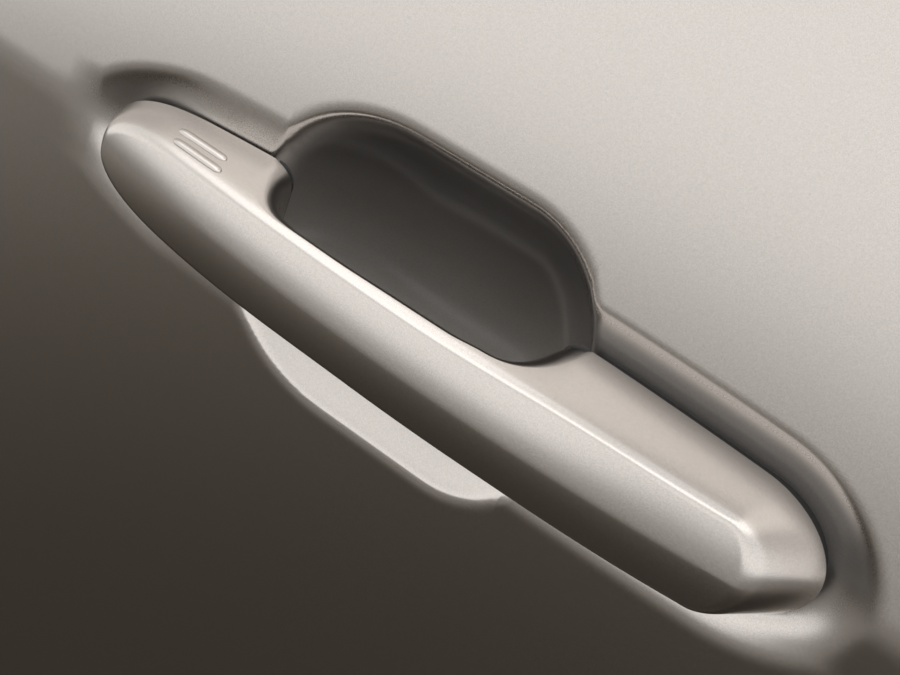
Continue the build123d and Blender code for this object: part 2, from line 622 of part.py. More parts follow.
def make_hinge_pin():
    half = EYE_HALF + CHEEK_PLAY + CHEEK
    body = pin((HINGE_X, -HINGE_PROUD, -half - PIN_END), (0, 0, 1), HINGE_PIN, 2 * half + PIN_END)
    return body + pin((HINGE_X, -HINGE_PROUD, half), (0, 0, 1), HINGE_PIN + 2 * PIN_HEAD_RIM, PIN_HEAD_HEIGHT)


def make_crank_pin():
    x0 = CRANK_HUB_NOSE_X - CHEEK_PLAY - CHEEK
    x1 = CRANK_HUB_TAIL_X + CHEEK_PLAY + CHEEK
    body = pin((x0 - PIN_END, -CRANK_PROUD, CRANK_Z), (1, 0, 0), CRANK_PIN, x1 - x0 + PIN_END)
    return body + pin((x1, -CRANK_PROUD, CRANK_Z), (1, 0, 0), CRANK_PIN + 2 * PIN_HEAD_RIM, PIN_HEAD_HEIGHT)


def crank_point(reach, angle):
    """Point of the crank's side view, as (z, proud), at a reach and angle from its pin."""
    a = math.radians(angle)
    return CRANK_Z + reach * math.sin(a), CRANK_PROUD - reach * math.cos(a)


def crank_limb(reach, angle, end_round, neck_half):
    """Tapering limb of the crank, from its hub to a rounded end."""
    tip_z, tip_p = crank_point(reach, angle)
    end = Pos(tip_z, tip_p) * Circle(end_round)
    root = Pos(CRANK_Z, CRANK_PROUD) * Circle(CRANK_HUB / 2)
    dz, dp = math.cos(math.radians(angle)), math.sin(math.radians(angle))
    wide = CRANK_HUB / 2 - LIMB_ROOT_INSET
    neck = Polyline((CRANK_Z + wide * dz, CRANK_PROUD + wide * dp),
                    (tip_z + neck_half * dz, tip_p + neck_half * dp),
                    (tip_z - neck_half * dz, tip_p - neck_half * dp),
                    (CRANK_Z - wide * dz, CRANK_PROUD - wide * dp), close=True)
    return root + end + make_face(neck)


def crank_plane(x):
    return Plane(origin=(x, 0, 0), x_dir=(0, 0, 1), z_dir=(1, 0, 0))


def make_crank():
    """Bell crank: hub, finger under the hook's toe, rod arm with an eye and an arm for its weight."""
    limbs = crank_limb(FINGER_REACH, FINGER_ANGLE, FINGER_ROUND, FINGER_NECK)
    limbs += crank_limb(ROD_REACH, ROD_ANGLE, ROD_EYE_RIM, ROD_EYE_RIM)
    limbs += crank_limb(WEIGHT_REACH, WEIGHT_ANGLE, WEIGHT_RIVET, WEIGHT_RIVET)
    crank = extrude(crank_plane(CRANK_PLATE_NOSE_X) * limbs, CRANK_PLATE)
    hub_length = CRANK_HUB_TAIL_X - CRANK_HUB_NOSE_X
    start = (CRANK_HUB_NOSE_X, -CRANK_PROUD, CRANK_Z)
    crank += pin(start, (1, 0, 0), CRANK_HUB, hub_length)
    crank -= pin(start, (1, 0, 0), CRANK_PIN + 2 * CRANK_PLAY, hub_length)
    eye_z, eye_p = crank_point(ROD_REACH, ROD_ANGLE)
    crank -= pin((CRANK_PLATE_NOSE_X, -eye_p, eye_z), (1, 0, 0), ROD_EYE, CRANK_PLATE)
    weight_z, weight_p = crank_point(WEIGHT_REACH, WEIGHT_ANGLE)
    return crank - pin((CRANK_PLATE_NOSE_X, -weight_p, weight_z), (1, 0, 0), WEIGHT_RIVET, CRANK_PLATE)


def make_counterweight():
    """Steel slug riveted through the crank, which keeps it shut in a side impact."""
    weight_z, weight_p = crank_point(WEIGHT_REACH, WEIGHT_ANGLE)
    side = (WEIGHT_LENGTH - CRANK_PLATE) / 2
    near = pin((CRANK_PLATE_NOSE_X - side, -weight_p, weight_z), (1, 0, 0), 2 * WEIGHT_ROUND, side)
    far = pin((CRANK_PLATE_NOSE_X + CRANK_PLATE, -weight_p, weight_z), (1, 0, 0), 2 * WEIGHT_ROUND, side)
    rivet = pin((CRANK_PLATE_NOSE_X, -weight_p, weight_z), (1, 0, 0), WEIGHT_RIVET, CRANK_PLATE)
    return near + rivet + far


def make_spring():
    """Torsion spring: coils round the hub and a leg from their low side that bears on the frame's plate."""
    radius = CRANK_HUB / 2 + SPRING_PLAY + SPRING_WIRE / 2
    pitch = SPRING_WIRE + SPRING_TURN_GAP
    middle = (CRANK_HUB_NOSE_X + SPRING_WIRE, -CRANK_PROUD, CRANK_Z)
    upright = Plane(origin=middle, x_dir=(0, 0, -1), z_dir=(1, 0, 0))
    coil = upright * Helix(pitch, pitch * SPRING_TURNS, radius)
    start, tangent = coil @ 0, coil % 0
    plate_back = FRAME_PLATE - FRAME_FRONT
    foot = start - tangent * ((start.Y - plate_back - SPRING_SEAT) / tangent.Y)
    wire = Wire([Edge.make_line(foot, start), coil.edge()])
    return sweep(Plane(origin=foot, z_dir=tangent) * Circle(SPRING_WIRE / 2), path=wire)


def build():
    form = rounded_handle()
    return {
        "door_skin": make_door_skin(),
        "handle_shell": make_shell(form),
        "handle_core": make_core(form),
        "shell_screws": make_shell_screws(),
        "front_pad": make_front_pad(),
        "rear_pad": make_rear_pad(),
        "base_frame": make_frame(),
        "frame_screws": make_frame_screws(),
        "clinch_nuts": make_clinch_nuts(),
        "hinge_pin": make_hinge_pin(),
        "crank_pin": make_crank_pin(),
        "bell_crank": make_crank(),
        "counterweight": make_counterweight(),
        "return_spring": make_spring(),
    }


os.makedirs("parts", exist_ok=True)
for name, shape in build().items():
    export_step(shape, f"parts/{name}.step")
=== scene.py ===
import math

import bpy
import numpy as np
from bpy.props import FloatProperty, FloatVectorProperty, PointerProperty
from bpy.types import Operator, Panel, PropertyGroup
from mathutils import Matrix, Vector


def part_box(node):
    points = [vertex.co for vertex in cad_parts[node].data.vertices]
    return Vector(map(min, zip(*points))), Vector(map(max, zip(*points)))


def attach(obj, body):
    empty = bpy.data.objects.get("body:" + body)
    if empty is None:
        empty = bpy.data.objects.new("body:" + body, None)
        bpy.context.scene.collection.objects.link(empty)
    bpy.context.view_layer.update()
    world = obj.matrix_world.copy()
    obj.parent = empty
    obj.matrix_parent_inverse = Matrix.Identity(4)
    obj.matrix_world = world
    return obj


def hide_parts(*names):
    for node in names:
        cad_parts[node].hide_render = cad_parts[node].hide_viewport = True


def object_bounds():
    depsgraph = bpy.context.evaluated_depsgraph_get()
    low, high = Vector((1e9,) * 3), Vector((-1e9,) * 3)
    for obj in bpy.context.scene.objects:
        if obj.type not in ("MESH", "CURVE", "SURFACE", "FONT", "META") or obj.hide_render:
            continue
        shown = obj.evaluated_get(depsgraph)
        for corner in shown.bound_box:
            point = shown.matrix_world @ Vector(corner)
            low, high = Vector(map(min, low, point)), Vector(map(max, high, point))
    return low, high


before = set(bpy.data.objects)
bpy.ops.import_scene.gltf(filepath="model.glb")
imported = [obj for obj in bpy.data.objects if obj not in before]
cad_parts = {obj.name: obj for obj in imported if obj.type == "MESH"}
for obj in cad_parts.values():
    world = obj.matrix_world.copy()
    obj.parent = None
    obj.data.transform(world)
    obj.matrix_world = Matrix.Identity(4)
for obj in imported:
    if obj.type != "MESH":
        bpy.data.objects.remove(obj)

bl_info = {
    "name": "Car Door Pull Handle",
    "version": (1, 0, 0),
    "blender": (4, 5, 0),
    "location": "View3D > Sidebar > Pull Handle",
    "description": "Dresses a car's exterior pull handle and the section of door skin round it",
    "category": "Object",
}

# Metres, in the frame of the CAD model. X runs along the handle, nose to tail, the outside of
# the door faces -Y and +Z is up. "Proud" is a height outwards from the origin, so y = -proud.
CAD_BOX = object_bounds()
PATCH_LOW, PATCH_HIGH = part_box("door_skin")

# Door skin
SHEET = 0.0008
SKIN_LEAN = math.radians(5.0)
CREST_ROUND = 0.060

# Channel round the handle's foot
CHANNEL_FLOOR = -0.005
FLOOR_MARGIN = 0.0024
FLOOR_RAISE = 0.0024                # of the floor between the nose's tip and the cup
FLOOR_NARROWER = 0.85               # share of the margin that it loses at the nose
SLOPE_WIDER = 0.18                  # share that the run of its side slopes gains there
SLOPE_SIDE = math.radians(17.3)
SLOPE_TAIL = math.radians(23.0)
SLOPE_NOSE = math.radians(16.6)
LOWER_DEPTH = 0.0026                # of the channel at its lower rim
RISE_SPAN = (-0.02, 0.15)           # heights between which its slopes are searched

# Cup for the fingers
CUP_DEPTH = 0.030
CUP_HALF_HEIGHT = 0.0458
CUP_RISE = 0.0015
CUP_NOSE_X = -0.0815
CUP_TAIL_X = 0.0300
CUP_FLAT_NOSE_X = -0.039
CUP_FLAT_TAIL_X = -0.002
CUP_END_FALL = 6.0                  # how fast its depth falls below zero past the mouth's two ends
BRIM_DEPTH = 0.0005                 # of the skin's dip towards the cup's lip
BRIM_REACH = 0.011                  # height of the cup's trough over the skin where the dip starts
SHOULDER_LEAN = math.radians(32.7)  # of the cup's wall from the skin, just inside its lower lip
SHOULDER_SET = 0.0005               # from the trough's edge to the edge of that wall
SHOULDER_STRIP = 0.0125             # height of the strip that leans so
SHOULDER_FALL = 22.0                # how fast it falls away past that strip, per metre
SHOULDER_BLEND = 0.001              # depth over which it meets the trough
LIP_SHARPER = 0.7                   # share of the lip's blend that is lost at its lower side

# Openings of the skin behind the handle, as x and half height
FRONT_OPENING = (-0.1245, -0.1055, 0.0085)
REAR_OPENING = (0.055, 0.091, 0.011)

# Handle
BACK_EDGE = -0.0015
CREST_PROUD = 0.0262
CREST_BOW = 0.600
CREST_LEAN = math.radians(5.0)      # of the upper facet right beside the crest
CREST_LEAN_UNDER = math.radians(3.2)
RIDGE_HALF = 0.0135                 # half height of the front face at the grip's middle
UPPER_DROP = 0.0024                 # fall of the upper facet from the crest to the ridge there
LOWER_DROP = 0.0019                 # fall of the lower facet
TAIL_DROP = 0.0019                  # fall of the upper facet where the tail begins
FOOT_HALF_MID = 0.0218
FOOT_HALF_TAIL = 0.0195
FOOT_HALF_NOSE = 0.0180
TAIL_CENTRE_X = 0.0828
NOSE_CENTRE_X = -0.098
TAIL_REACH = 0.0243
NOSE_REACH = 0.0376
NOSE_POWER = 2.9                    # of the handle's nose outline, 2 for an ellipse
UPPER_DRAFT = math.radians(16.5)
UPPER_DRAFT_TAIL = math.radians(13.4)
LOWER_DRAFT = math.radians(18.0)
LOWER_DRAFT_NOSE = math.radians(13.5)
LOWER_DRAFT_TAIL = math.radians(15.5)
TAIL_TAPER = 0.76
NOSE_TAPER = 0.29
WALL = 0.0025
WALL_SPAN = (-0.001, 0.059)         # heights between which its walls are searched
COVER = 0.00006                     # how far the grip's inner face stands clear of the lining it replaces
FOOT_INSIDE = 0.001                 # proud of the cover's closed underside, inside the core's plates
FOOT_EDGE = 0.0004                  # width of the edge round the foot
FOOT_PULL = 0.66                    # share of the way to its corner that an edge's curve is drawn
GRIP_SOFTER = 0.46                  # how much less of it at the grip's middle

# Finger gap, as the line of the grip's inner face
GAP_NOSE_X = -0.0695
GAP_TAIL_X = 0.0216
GAP_PROUD = 0.0116
GAP_NOSE_LEAN = math.radians(10.5)
GAP_TAIL_LEAN = math.radians(19.0)
GAP_NOSE_ROUND = 0.013
GAP_TAIL_ROUND = 0.0096

# Where a value changes, as the start and the end of the change in x, -x, z or -z
NOSE_NARROWS = (0.055, 0.095)       # -x, floor and slopes of the channel
NOSE_RISES = (-0.137, -0.100)       # x, floor of the channel
CUP_FALLS = (0.070, 0.078)          # -x, the same floor's way back beside the cup
UNDERSIDE = (0.002, 0.018)          # -z, lower side of the channel
LIP_UNDER = (0.020, 0.035)          # -z, blend of the cup's lip
CREST_TO_NOSE = (0.075, 0.115)      # -x, blend of the crest
DROP_TO_TAIL = (0.020, 0.075)       # x, fall of the upper facet
UPPER_TO_TAIL = (-0.010, 0.060)     # x, draft of the upper side
LOWER_TO_NOSE = (0.020, 0.095)      # -x, draft of the lower side
LOWER_TO_TAIL = (0.020, 0.080)      # x
RIDGE_TO_TAIL = (0.030, 0.075)      # x, blend of the ridge
RIDGE_TO_END = (0.080, 0.092)       # x
RIDGE_TO_NOSE = (0.096, 0.128)      # -x
GRIP_NOSE, GRIP_TAIL = (-0.059, -0.030), (-0.012, 0.000)    # x and -x, wider edge of the grip
SOFT_NOSE, SOFT_TAIL = (-0.070, -0.050), (-0.022, -0.012)   # x and -x, softer edge of the grip

# Painted shade in the channel and the cup: the paint's colour is darkened where shade and dark reflections
# fall deep in them. 0 as on the skin, 1 where it is darkest
DEEP_Z = (-0.028, -0.012)           # z where the tone of the deep parts sets in
DEEP_DEPTHS = (0.0015, 0.0110)      # and their depths
DEEP_SHADE_LOW = 0.64                     # what that tone reaches low in the cup
DEEP_FULL_Z = (0.008, 0.030)        # z where it becomes full
UPPER_SHADE = 0.25                   # of the channel's upper wall before the cup
UPPER_SHADE_TAIL = 0.65              # and past it
UPPER_TAIL_X = (-0.02, 0.05)
UPPER_Z = (0.0, 0.01)
UPPER_DEPTHS = (0.0001, 0.0024)

# Mesh of the skin: finer inside these, and finest along the cup's ends
FINE_NOSE_X, FINE_TAIL_X = -0.146, 0.132
FINE_HALF_Z = 0.074
CUP_ENDS = ((-0.092, -0.078), (0.022, 0.036))

# Mesh of the handle
GAP_STEPS = 4001                    # points of the sums along the gap's line
GAP_COLUMNS = 150
NOSE_COLUMNS = 24
TAIL_COLUMNS = 40
PAST_GAP = 0.0003                   # from the gap's last edge to the next column
TURN_ANGLES = np.radians(np.linspace(90.0, -90.0, 73)[1:-1])
ROWS = 15                           # of front, ridge, wall and edge alike
RIDGE_ROWS_REACH = 0.8              # of the ridge's rows either side, as a share of its blend
FIRST_SHARE, LAST_SHARE = 0.15, 0.97    # of the way down, the limits of the ridge's rows
GAP_RIM_SHARE = 0.85                # of the way back to the spine where the grip's next row is
UNDER_SHARES = (0.99, 0.5, 0.0)     # of the foot's inner half where the last rows are

# Touch ribs on the top wall: x and proud of the ends of each centre line
RIBS = (((-0.1062, 0.0070), (-0.0866, 0.0089)), ((-0.1037, 0.0115), (-0.0838, 0.0138)))
RIB_HALF_WIDTH = 0.0014
RIB_HEIGHT = 0.0008
RIB_POWER = 10                      # how late a rib tapers towards its ends
RIB_ROWS = 41
RIB_SIDES = 24

HALVINGS = 44                       # steps of a search by halving
TINY = 1e-6                         # least length that counts
SLOPE_STEP = 1e-5                   # either side of a point where the skin's slope is taken

# Camera of the reference view, fitted to the outlines of handle, channel and cup
VIEW_AZIMUTH = math.radians(24.29)
VIEW_ELEVATION = math.radians(27.71)
VIEW_ROLL = math.radians(21.65)
VIEW_DISTANCE = 0.3859
VIEW_TARGET = np.array([-0.00449, -0.007, 0.00686])
SENSOR_WIDTH = 36.0
VIEW_LENS = 59.25

# What glossy surfaces mirror: elevation in degrees and brightness, and the tints of its dark
# and of its bright parts
SKY = ((-90, 0.065), (-60, 0.051), (-46, 0.056), (-37, 0.10), (-28, 0.28), (-20, 0.30), (-16, 0.36),
       (-13.2, 0.58), (-10.8, 1.27), (-4, 1.27), (12, 1.2), (25, 1.08), (38, 1.08), (50, 1.85), (66, 1.85),
       (74, 1.1), (90, 1.1))
DARK_TINT = np.array([1.0, 0.85, 0.68])
BRIGHT_TINT = np.array([1.0, 0.975, 0.95])
BRIGHT_LEVEL = 0.5                  # brightness from which the tint is the bright one

# Finishes
FLAKE_TONE = 0.06                   # how much lighter or darker than the colour a flake is
FLAKE_SPREAD = 0.03                 # how much rougher or smoother than the paint
GRAIN_SPREAD = 0.08                 # the same for the grain of moulded and machined pieces
MIX_A, MIX_B, MIX_RESULT = 6, 7, 2  # colour sockets of a mix node

# Stage
FLOOR_HALF = 4.0
LAMP_PLACE = (-0.1, -0.5, 1.3)
LAMP_TILT = math.radians(20)
LAMP_SIZE = (1.6, 1.2)


class SkinSettings(PropertyGroup):
    rim_blend: FloatProperty(
        name="Channel rim", description="Depth over which the channel's slope blends into the skin",
        unit="LENGTH", default=0.0007)
    floor_blend: FloatProperty(
        name="Channel foot", description="Depth over which the slope blends into the channel's floor",
        unit="LENGTH", default=0.0016)
    lip_blend: FloatProperty(
        name="Cup lip", description="Depth over which the cup's wall blends into the skin",
        unit="LENGTH", default=0.0032)
    grid: FloatProperty(
        name="Mesh step", description="Spacing of the mesh round the handle", unit="LENGTH", default=0.0010)


class HandleSettings(PropertyGroup):
    ridge_middle: FloatProperty(
        name="Ridge, middle", description="Depth over which front and wall blend along the grip",
        unit="LENGTH", default=0.0052)
    ridge_tail: FloatProperty(
        name="Ridge, tail", description="The same blend where the tail begins",
        unit="LENGTH", default=0.0064)
    ridge_end: FloatProperty(
        name="Ridge, end facet", description="The same blend round the tail's end facet",
        unit="LENGTH", default=0.0036)
    ridge_nose: FloatProperty(
        name="Ridge, nose", description="The same blend at the nose", unit="LENGTH", default=0.0090)
    crest_blend: FloatProperty(
        name="Crest", description="Half width of the rounded crest line", unit="LENGTH", default=0.0004)
    crest_nose: FloatProperty(
        name="Crest, nose", description="The same at the nose", unit="LENGTH", default=0.0030)
    mouth: FloatProperty(
        name="Grip edge", description="Width of the rounded edge behind the grip",
        unit="LENGTH", default=0.0082)
    grip_round: FloatProperty(
        name="Grip roundness", description="How much wider that edge is at the grip's middle",
        unit="LENGTH", default=0.0012)


class PaintSettings(PropertyGroup):
    colour: FloatVectorProperty(
        name="Colour", description="Colour of the metallic paint", subtype="COLOR",
        size=3, min=0.0, max=1.0, default=(0.60, 0.572, 0.548))
    roughness: FloatProperty(
        name="Flake roughness", description="Spread of the light on the paint's flakes",
        min=0.0, max=1.0, default=0.23)
    grain: FloatProperty(
        name="Flake size", description="Width of a flake", unit="LENGTH", default=0.00022)
    # Painted shade: share of its brightness that the paint keeps where the channel and the cup are darkest
    recess_shade: FloatProperty(
        name="Recess tone", description="Share of its brightness that the paint keeps deep in the recess",
        min=0.0, max=1.0, default=0.22)
    recess_dull: FloatProperty(
        name="Recess dullness", description="What the recess adds to the roughness where it is deepest",
        min=0.0, max=1.0, default=0.50)


class StageSettings(PropertyGroup):
    floor_drop: FloatProperty(
        name="Floor drop", description="Distance from the part to the floor", unit="LENGTH", default=0.004)
    key_power: FloatProperty(
        name="Key power", description="Power of the large lamp overhead", unit="POWER", default=4.5)


def smooth_min(a, b, blend):
    """Lesser of two heights, rounded by a parabola where they differ by less than the blend."""
    return np.minimum(a, b) - np.maximum(blend - np.abs(a - b), 0.0) ** 2 / (4.0 * blend)


def smooth_max(a, b, blend):
    """Greater of two heights, rounded in the same way."""
    return -smooth_min(-a, -b, blend)


def ease(x, start, end):
    """0 before start, 1 after end, and a cubic S curve between them."""
    t = np.clip((x - start) / (end - start), 0.0, 1.0)
    return t * t * (3.0 - 2.0 * t)


def bowed_half(x):
    """Half height of the foot's flanks: the circle through its nose, middle and tail heights."""
    matrix = np.array([[2 * NOSE_CENTRE_X, 2 * FOOT_HALF_NOSE, 1.0], [0.0, 2 * FOOT_HALF_MID, 1.0],
                       [2 * TAIL_CENTRE_X, 2 * FOOT_HALF_TAIL, 1.0]])
    squares = np.array([NOSE_CENTRE_X ** 2 + FOOT_HALF_NOSE ** 2, FOOT_HALF_MID ** 2,
                        TAIL_CENTRE_X ** 2 + FOOT_HALF_TAIL ** 2])
    cx, cz, rest = np.linalg.solve(matrix, squares)
    return cz + np.sqrt(rest + cx * cx + cz * cz - (x - cx) ** 2)


def leaf_rise(x, z, margin, tail_run, nose_run, side_run, low, high, power=2.0):
    """Height at which the handle's outline, growing by a run for each unit of height, reaches a point.

    The outline at a height h has flanks at bowed_half(x) + margin + side_run h. Past the centre
    of an end it is that half height times the root of 1 - u squared, where u is the way past the
    centre over the reach at h. At the nose both squares may be another power. The height is
    found by halving the span from low to high. The outline grows with h or, with a negative
    run, shrinks.
    """
    grows = tail_run > 0
    under, over = np.full(x.shape, low), np.full(x.shape, high)
    for _ in range(HALVINGS):
        h = (under + over) / 2
        tail = np.maximum(x - TAIL_CENTRE_X, 0.0) / np.maximum(TAIL_REACH + margin + tail_run * h, TINY)
        nose = np.maximum(NOSE_CENTRE_X - x, 0.0) / np.maximum(NOSE_REACH + margin + nose_run * h, TINY)
        half = np.maximum(bowed_half(x) + margin + side_run * h, TINY)
        at_nose = nose ** power + np.abs(z / half) ** power
        inside = np.where(nose > 0, at_nose, tail ** 2 + (z / half) ** 2) < 1.0
        move_down = inside if grows else ~inside
        over = np.where(move_down, h, over)
        under = np.where(move_down, under, h)
    return (under + over) / 2


def plain_skin(z):
    """Height of the skin without its recess: it leans back both ways from a rounded crest at z = 0."""
    half = CREST_ROUND * math.sin(SKIN_LEAN)
    drop = CREST_ROUND * (1.0 - math.cos(SKIN_LEAN))
    flat = -drop - (np.abs(z) - half) * math.tan(SKIN_LEAN)
    round_part = np.sqrt(np.maximum(CREST_ROUND ** 2 - z * z, 0.0)) - CREST_ROUND
    return np.where(np.abs(z) < half, round_part, flat)


def channel_proud(x, z, settings):
    """Height of the channel: a floor, and a slope that rises from the handle's outline and its margin.

    Towards the nose the margin shrinks and the side slopes are gentler. On the lower side the
    slope is bowed: its rise is the square root of the straight rise times LOWER_DEPTH. The floor
    is raised between the nose's tip and the cup.
    """
    nearer = ease(-x, *NOSE_NARROWS)
    rise = leaf_rise(x, z, FLOOR_MARGIN * (1 - FLOOR_NARROWER * nearer), 1 / math.tan(SLOPE_TAIL),
                     1 / math.tan(SLOPE_NOSE), (1 + SLOPE_WIDER * nearer) / math.tan(SLOPE_SIDE), *RISE_SPAN)
    bowed = np.sqrt(LOWER_DEPTH * np.maximum(rise, 0.0))
    rise = np.where(rise > 0, rise + ease(-z, *UNDERSIDE) * (bowed - rise), rise)
    floor = CHANNEL_FLOOR + FLOOR_RAISE * ease(x, *NOSE_RISES) * ease(-x, *CUP_FALLS)
    return smooth_max(floor, CHANNEL_FLOOR + rise, settings.floor_blend)


def cup_proud(x, z):
    """Height of the cup: a trough and, above it inside the lower lip, a shoulder.

    The trough is a circle of radius line + depth(x) about a line in front of the skin, whose
    depth falls off as an ellipse at either end. The shoulder leaves the plain skin's height at
    its lean from the trough's lower edge, and falls away by a square past its strip.
    """
    turn = (CUP_DEPTH ** 2 + CUP_HALF_HEIGHT ** 2) / (2 * CUP_DEPTH)
    line = turn - CUP_DEPTH
    tail = np.maximum(x - CUP_FLAT_TAIL_X, 0.0) / (CUP_TAIL_X - CUP_FLAT_TAIL_X)
    nose = np.maximum(CUP_FLAT_NOSE_X - x, 0.0) / (CUP_FLAT_NOSE_X - CUP_NOSE_X)
    u = tail + nose
    depth = CUP_DEPTH * np.where(u < 1.0, np.sqrt(np.maximum(1.0 - u * u, 0.0)), -CUP_END_FALL * (u - 1.0))
    reach = np.maximum(line + depth, 0.0)
    trough = line - np.sqrt(np.maximum(reach ** 2 - (z - CUP_RISE) ** 2, 0.0))
    inside = z - CUP_RISE + np.sqrt(np.maximum(reach ** 2 - line ** 2, 0.0))
    shoulder = (plain_skin(z) - math.tan(SHOULDER_LEAN) * (inside - SHOULDER_SET)
                - SHOULDER_FALL * np.maximum(inside - SHOULDER_STRIP, 0.0) ** 2)
    blend = SHOULDER_BLEND * ease(inside, 0.0, 3 * SHOULDER_BLEND) + TINY
    return np.where((inside > 0) & (z < 0), smooth_max(trough, shoulder, blend), trough)


def skin_proud(x, z, settings):
    """Height of the door skin's outer face over each point of the door's plane.

    It is the lesser of the plain skin and the channel and then of that and the cup, each
    rounded. Before the cup the skin dips to its lip by the square of the share of the brim's
    reach that is used up.
    """
    skin = smooth_min(plain_skin(z), channel_proud(x, z, settings), settings.rim_blend)
    cup = cup_proud(x, z)
    skin = skin - BRIM_DEPTH * np.maximum(1.0 - (cup - skin) / BRIM_REACH, 0.0) ** 2
    return smooth_min(skin, cup, settings.lip_blend * (1.0 - LIP_SHARPER * ease(-z, *LIP_UNDER)))


def painted_recess_shade(x, z, depth):
    """Painted shade at a point, 0 to 1, from its place and its depth below the plain skin: how much the
    paint is darkened for the shade and dark reflections deep in the channel and the cup.

    The first tone grows with depth and with z, and reaches the cup and the channel but not
    their lowest part. The second covers the whole channel above the crest, from its rim on,
    and is stronger past the cup. The greater counts.
    """
    level = DEEP_SHADE_LOW + (1.0 - DEEP_SHADE_LOW) * ease(z, *DEEP_FULL_Z)
    deep = level * ease(z, *DEEP_Z) * ease(depth, *DEEP_DEPTHS)
    along = UPPER_SHADE + (UPPER_SHADE_TAIL - UPPER_SHADE) * ease(x, *UPPER_TAIL_X)
    return np.maximum(deep, along * ease(z, *UPPER_Z) * ease(depth, *UPPER_DEPTHS))


def stations(*spans):
    """Values that run through spans of (start, end, step), each span's ends included once."""
    runs = [np.linspace(a, b, max(2, int(round((b - a) / step)) + 1))[:-1] for a, b, step in spans]
    return np.concatenate(runs + [np.array([spans[-1][1]])])


def weld(points, quads):
    """Joins points that coincide and drops the faces' repeated corners; returns points and faces."""
    _, first, same = np.unique(np.round(points, 7), axis=0, return_index=True, return_inverse=True)
    quads = same.reshape(-1)[quads]
    kept = quads != np.roll(quads, -1, axis=1)
    whole = kept.all(axis=1)
    faces = quads[whole].tolist()
    faces += [face[keep].tolist() for face, keep in zip(quads[~whole], kept[~whole]) if keep.sum() == 3]
    return points[first], faces


def grid_quads(rows, columns, closed=False):
    """Corner numbers of the faces of a grid whose points run row by row."""
    numbers = np.arange(rows * columns).reshape(rows, columns)
    if closed:
        numbers = np.hstack([numbers, numbers[:, :1]])
    a, b = numbers[:-1, :-1], numbers[:-1, 1:]
    c, d = numbers[1:, 1:], numbers[1:, :-1]
    return np.stack([a, b, c, d], axis=-1).reshape(-1, 4)


def new_piece(name, points, faces, body, material):
    """Mesh object from points and faces, smooth shaded, that rides on a body."""
    mesh = bpy.data.meshes.new(name)
    mesh.from_pydata(points, [], faces)
    mesh.polygons.foreach_set("use_smooth", np.ones(len(faces), dtype=bool))
    mesh.materials.append(material)
    mesh.update()
    piece = bpy.data.objects.new(name, mesh)
    bpy.context.collection.objects.link(piece)
    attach(piece, body)
    return piece


def new_material(name):
    """Material with an empty node tree but for its output and a principled shader."""
    material = bpy.data.materials.new(name)
    material.use_nodes = True
    nodes = material.node_tree.nodes
    nodes.clear()
    out = nodes.new("ShaderNodeOutputMaterial")
    shader = nodes.new("ShaderNodeBsdfPrincipled")
    material.node_tree.links.new(shader.outputs[0], out.inputs[0])
    return material, shader


def add_node(material, kind, **values):
    """Node of a kind with its properties and its inputs set by name."""
    node = material.node_tree.nodes.new(kind)
    for key, value in values.items():
        if hasattr(node, key):
            setattr(node, key, value)
        else:
            node.inputs[key.replace("_", " ")].default_value = value
    return node


def metallic_paint(name, paint):
    """Warm silver paint: fine flakes vary its colour and its roughness under a clear coat.

    Where a piece has the attribute "recess", its colour is darkened by its value as painted shade, and its
    roughness is raised.
    """
    material, shader = new_material(name)
    link = material.node_tree.links.new
    place = add_node(material, "ShaderNodeTexCoord")
    flakes = add_node(material, "ShaderNodeTexVoronoi", Scale=1.0 / paint.grain)
    link(place.outputs["Object"], flakes.inputs["Vector"])
    tone = add_node(material, "ShaderNodeSeparateColor")
    link(flakes.outputs["Color"], tone.inputs[0])
    ramp = add_node(material, "ShaderNodeMapRange", To_Min=1 - FLAKE_TONE, To_Max=1 + FLAKE_TONE)
    link(tone.outputs[0], ramp.inputs["Value"])
    tint = add_node(material, "ShaderNodeMix", data_type="RGBA", blend_type="MULTIPLY")
    tint.inputs["Factor"].default_value = 1.0
    tint.inputs[MIX_A].default_value = (*paint.colour, 1.0)
    link(ramp.outputs["Result"], tint.inputs[MIX_B])
    # Painted shade: this attribute darkens the paint's colour deep in the channel and the cup
    deep = add_node(material, "ShaderNodeAttribute", attribute_name="recess_shade")
    painted_shade_level = add_node(material, "ShaderNodeMapRange", To_Min=1.0, To_Max=paint.recess_shade)
    link(deep.outputs["Fac"], painted_shade_level.inputs["Value"])
    shade = add_node(material, "ShaderNodeMix", data_type="RGBA", blend_type="MULTIPLY")
    shade.inputs["Factor"].default_value = 1.0
    link(tint.outputs[MIX_RESULT], shade.inputs[MIX_A])
    link(painted_shade_level.outputs["Result"], shade.inputs[MIX_B])
    link(shade.outputs[MIX_RESULT], shader.inputs["Base Color"])
    rough = add_node(material, "ShaderNodeMapRange", To_Min=paint.roughness - FLAKE_SPREAD,
                     To_Max=paint.roughness + FLAKE_SPREAD)
    link(tone.outputs[1], rough.inputs["Value"])
    dull = add_node(material, "ShaderNodeMath", operation="MULTIPLY_ADD")
    dull.inputs[1].default_value = paint.recess_dull
    link(deep.outputs["Fac"], dull.inputs[0])
    link(rough.outputs["Result"], dull.inputs[2])
    link(dull.outputs[0], shader.inputs["Roughness"])
    shader.inputs["Metallic"].default_value = 1.0
    shader.inputs["Specular Tint"].default_value = (0.75, 0.73, 0.70, 1.0)
    shader.inputs["Coat Weight"].default_value = 1.0
    shader.inputs["Coat Roughness"].default_value = 0.12
    shader.inputs["Coat IOR"].default_value = 1.36
    return material


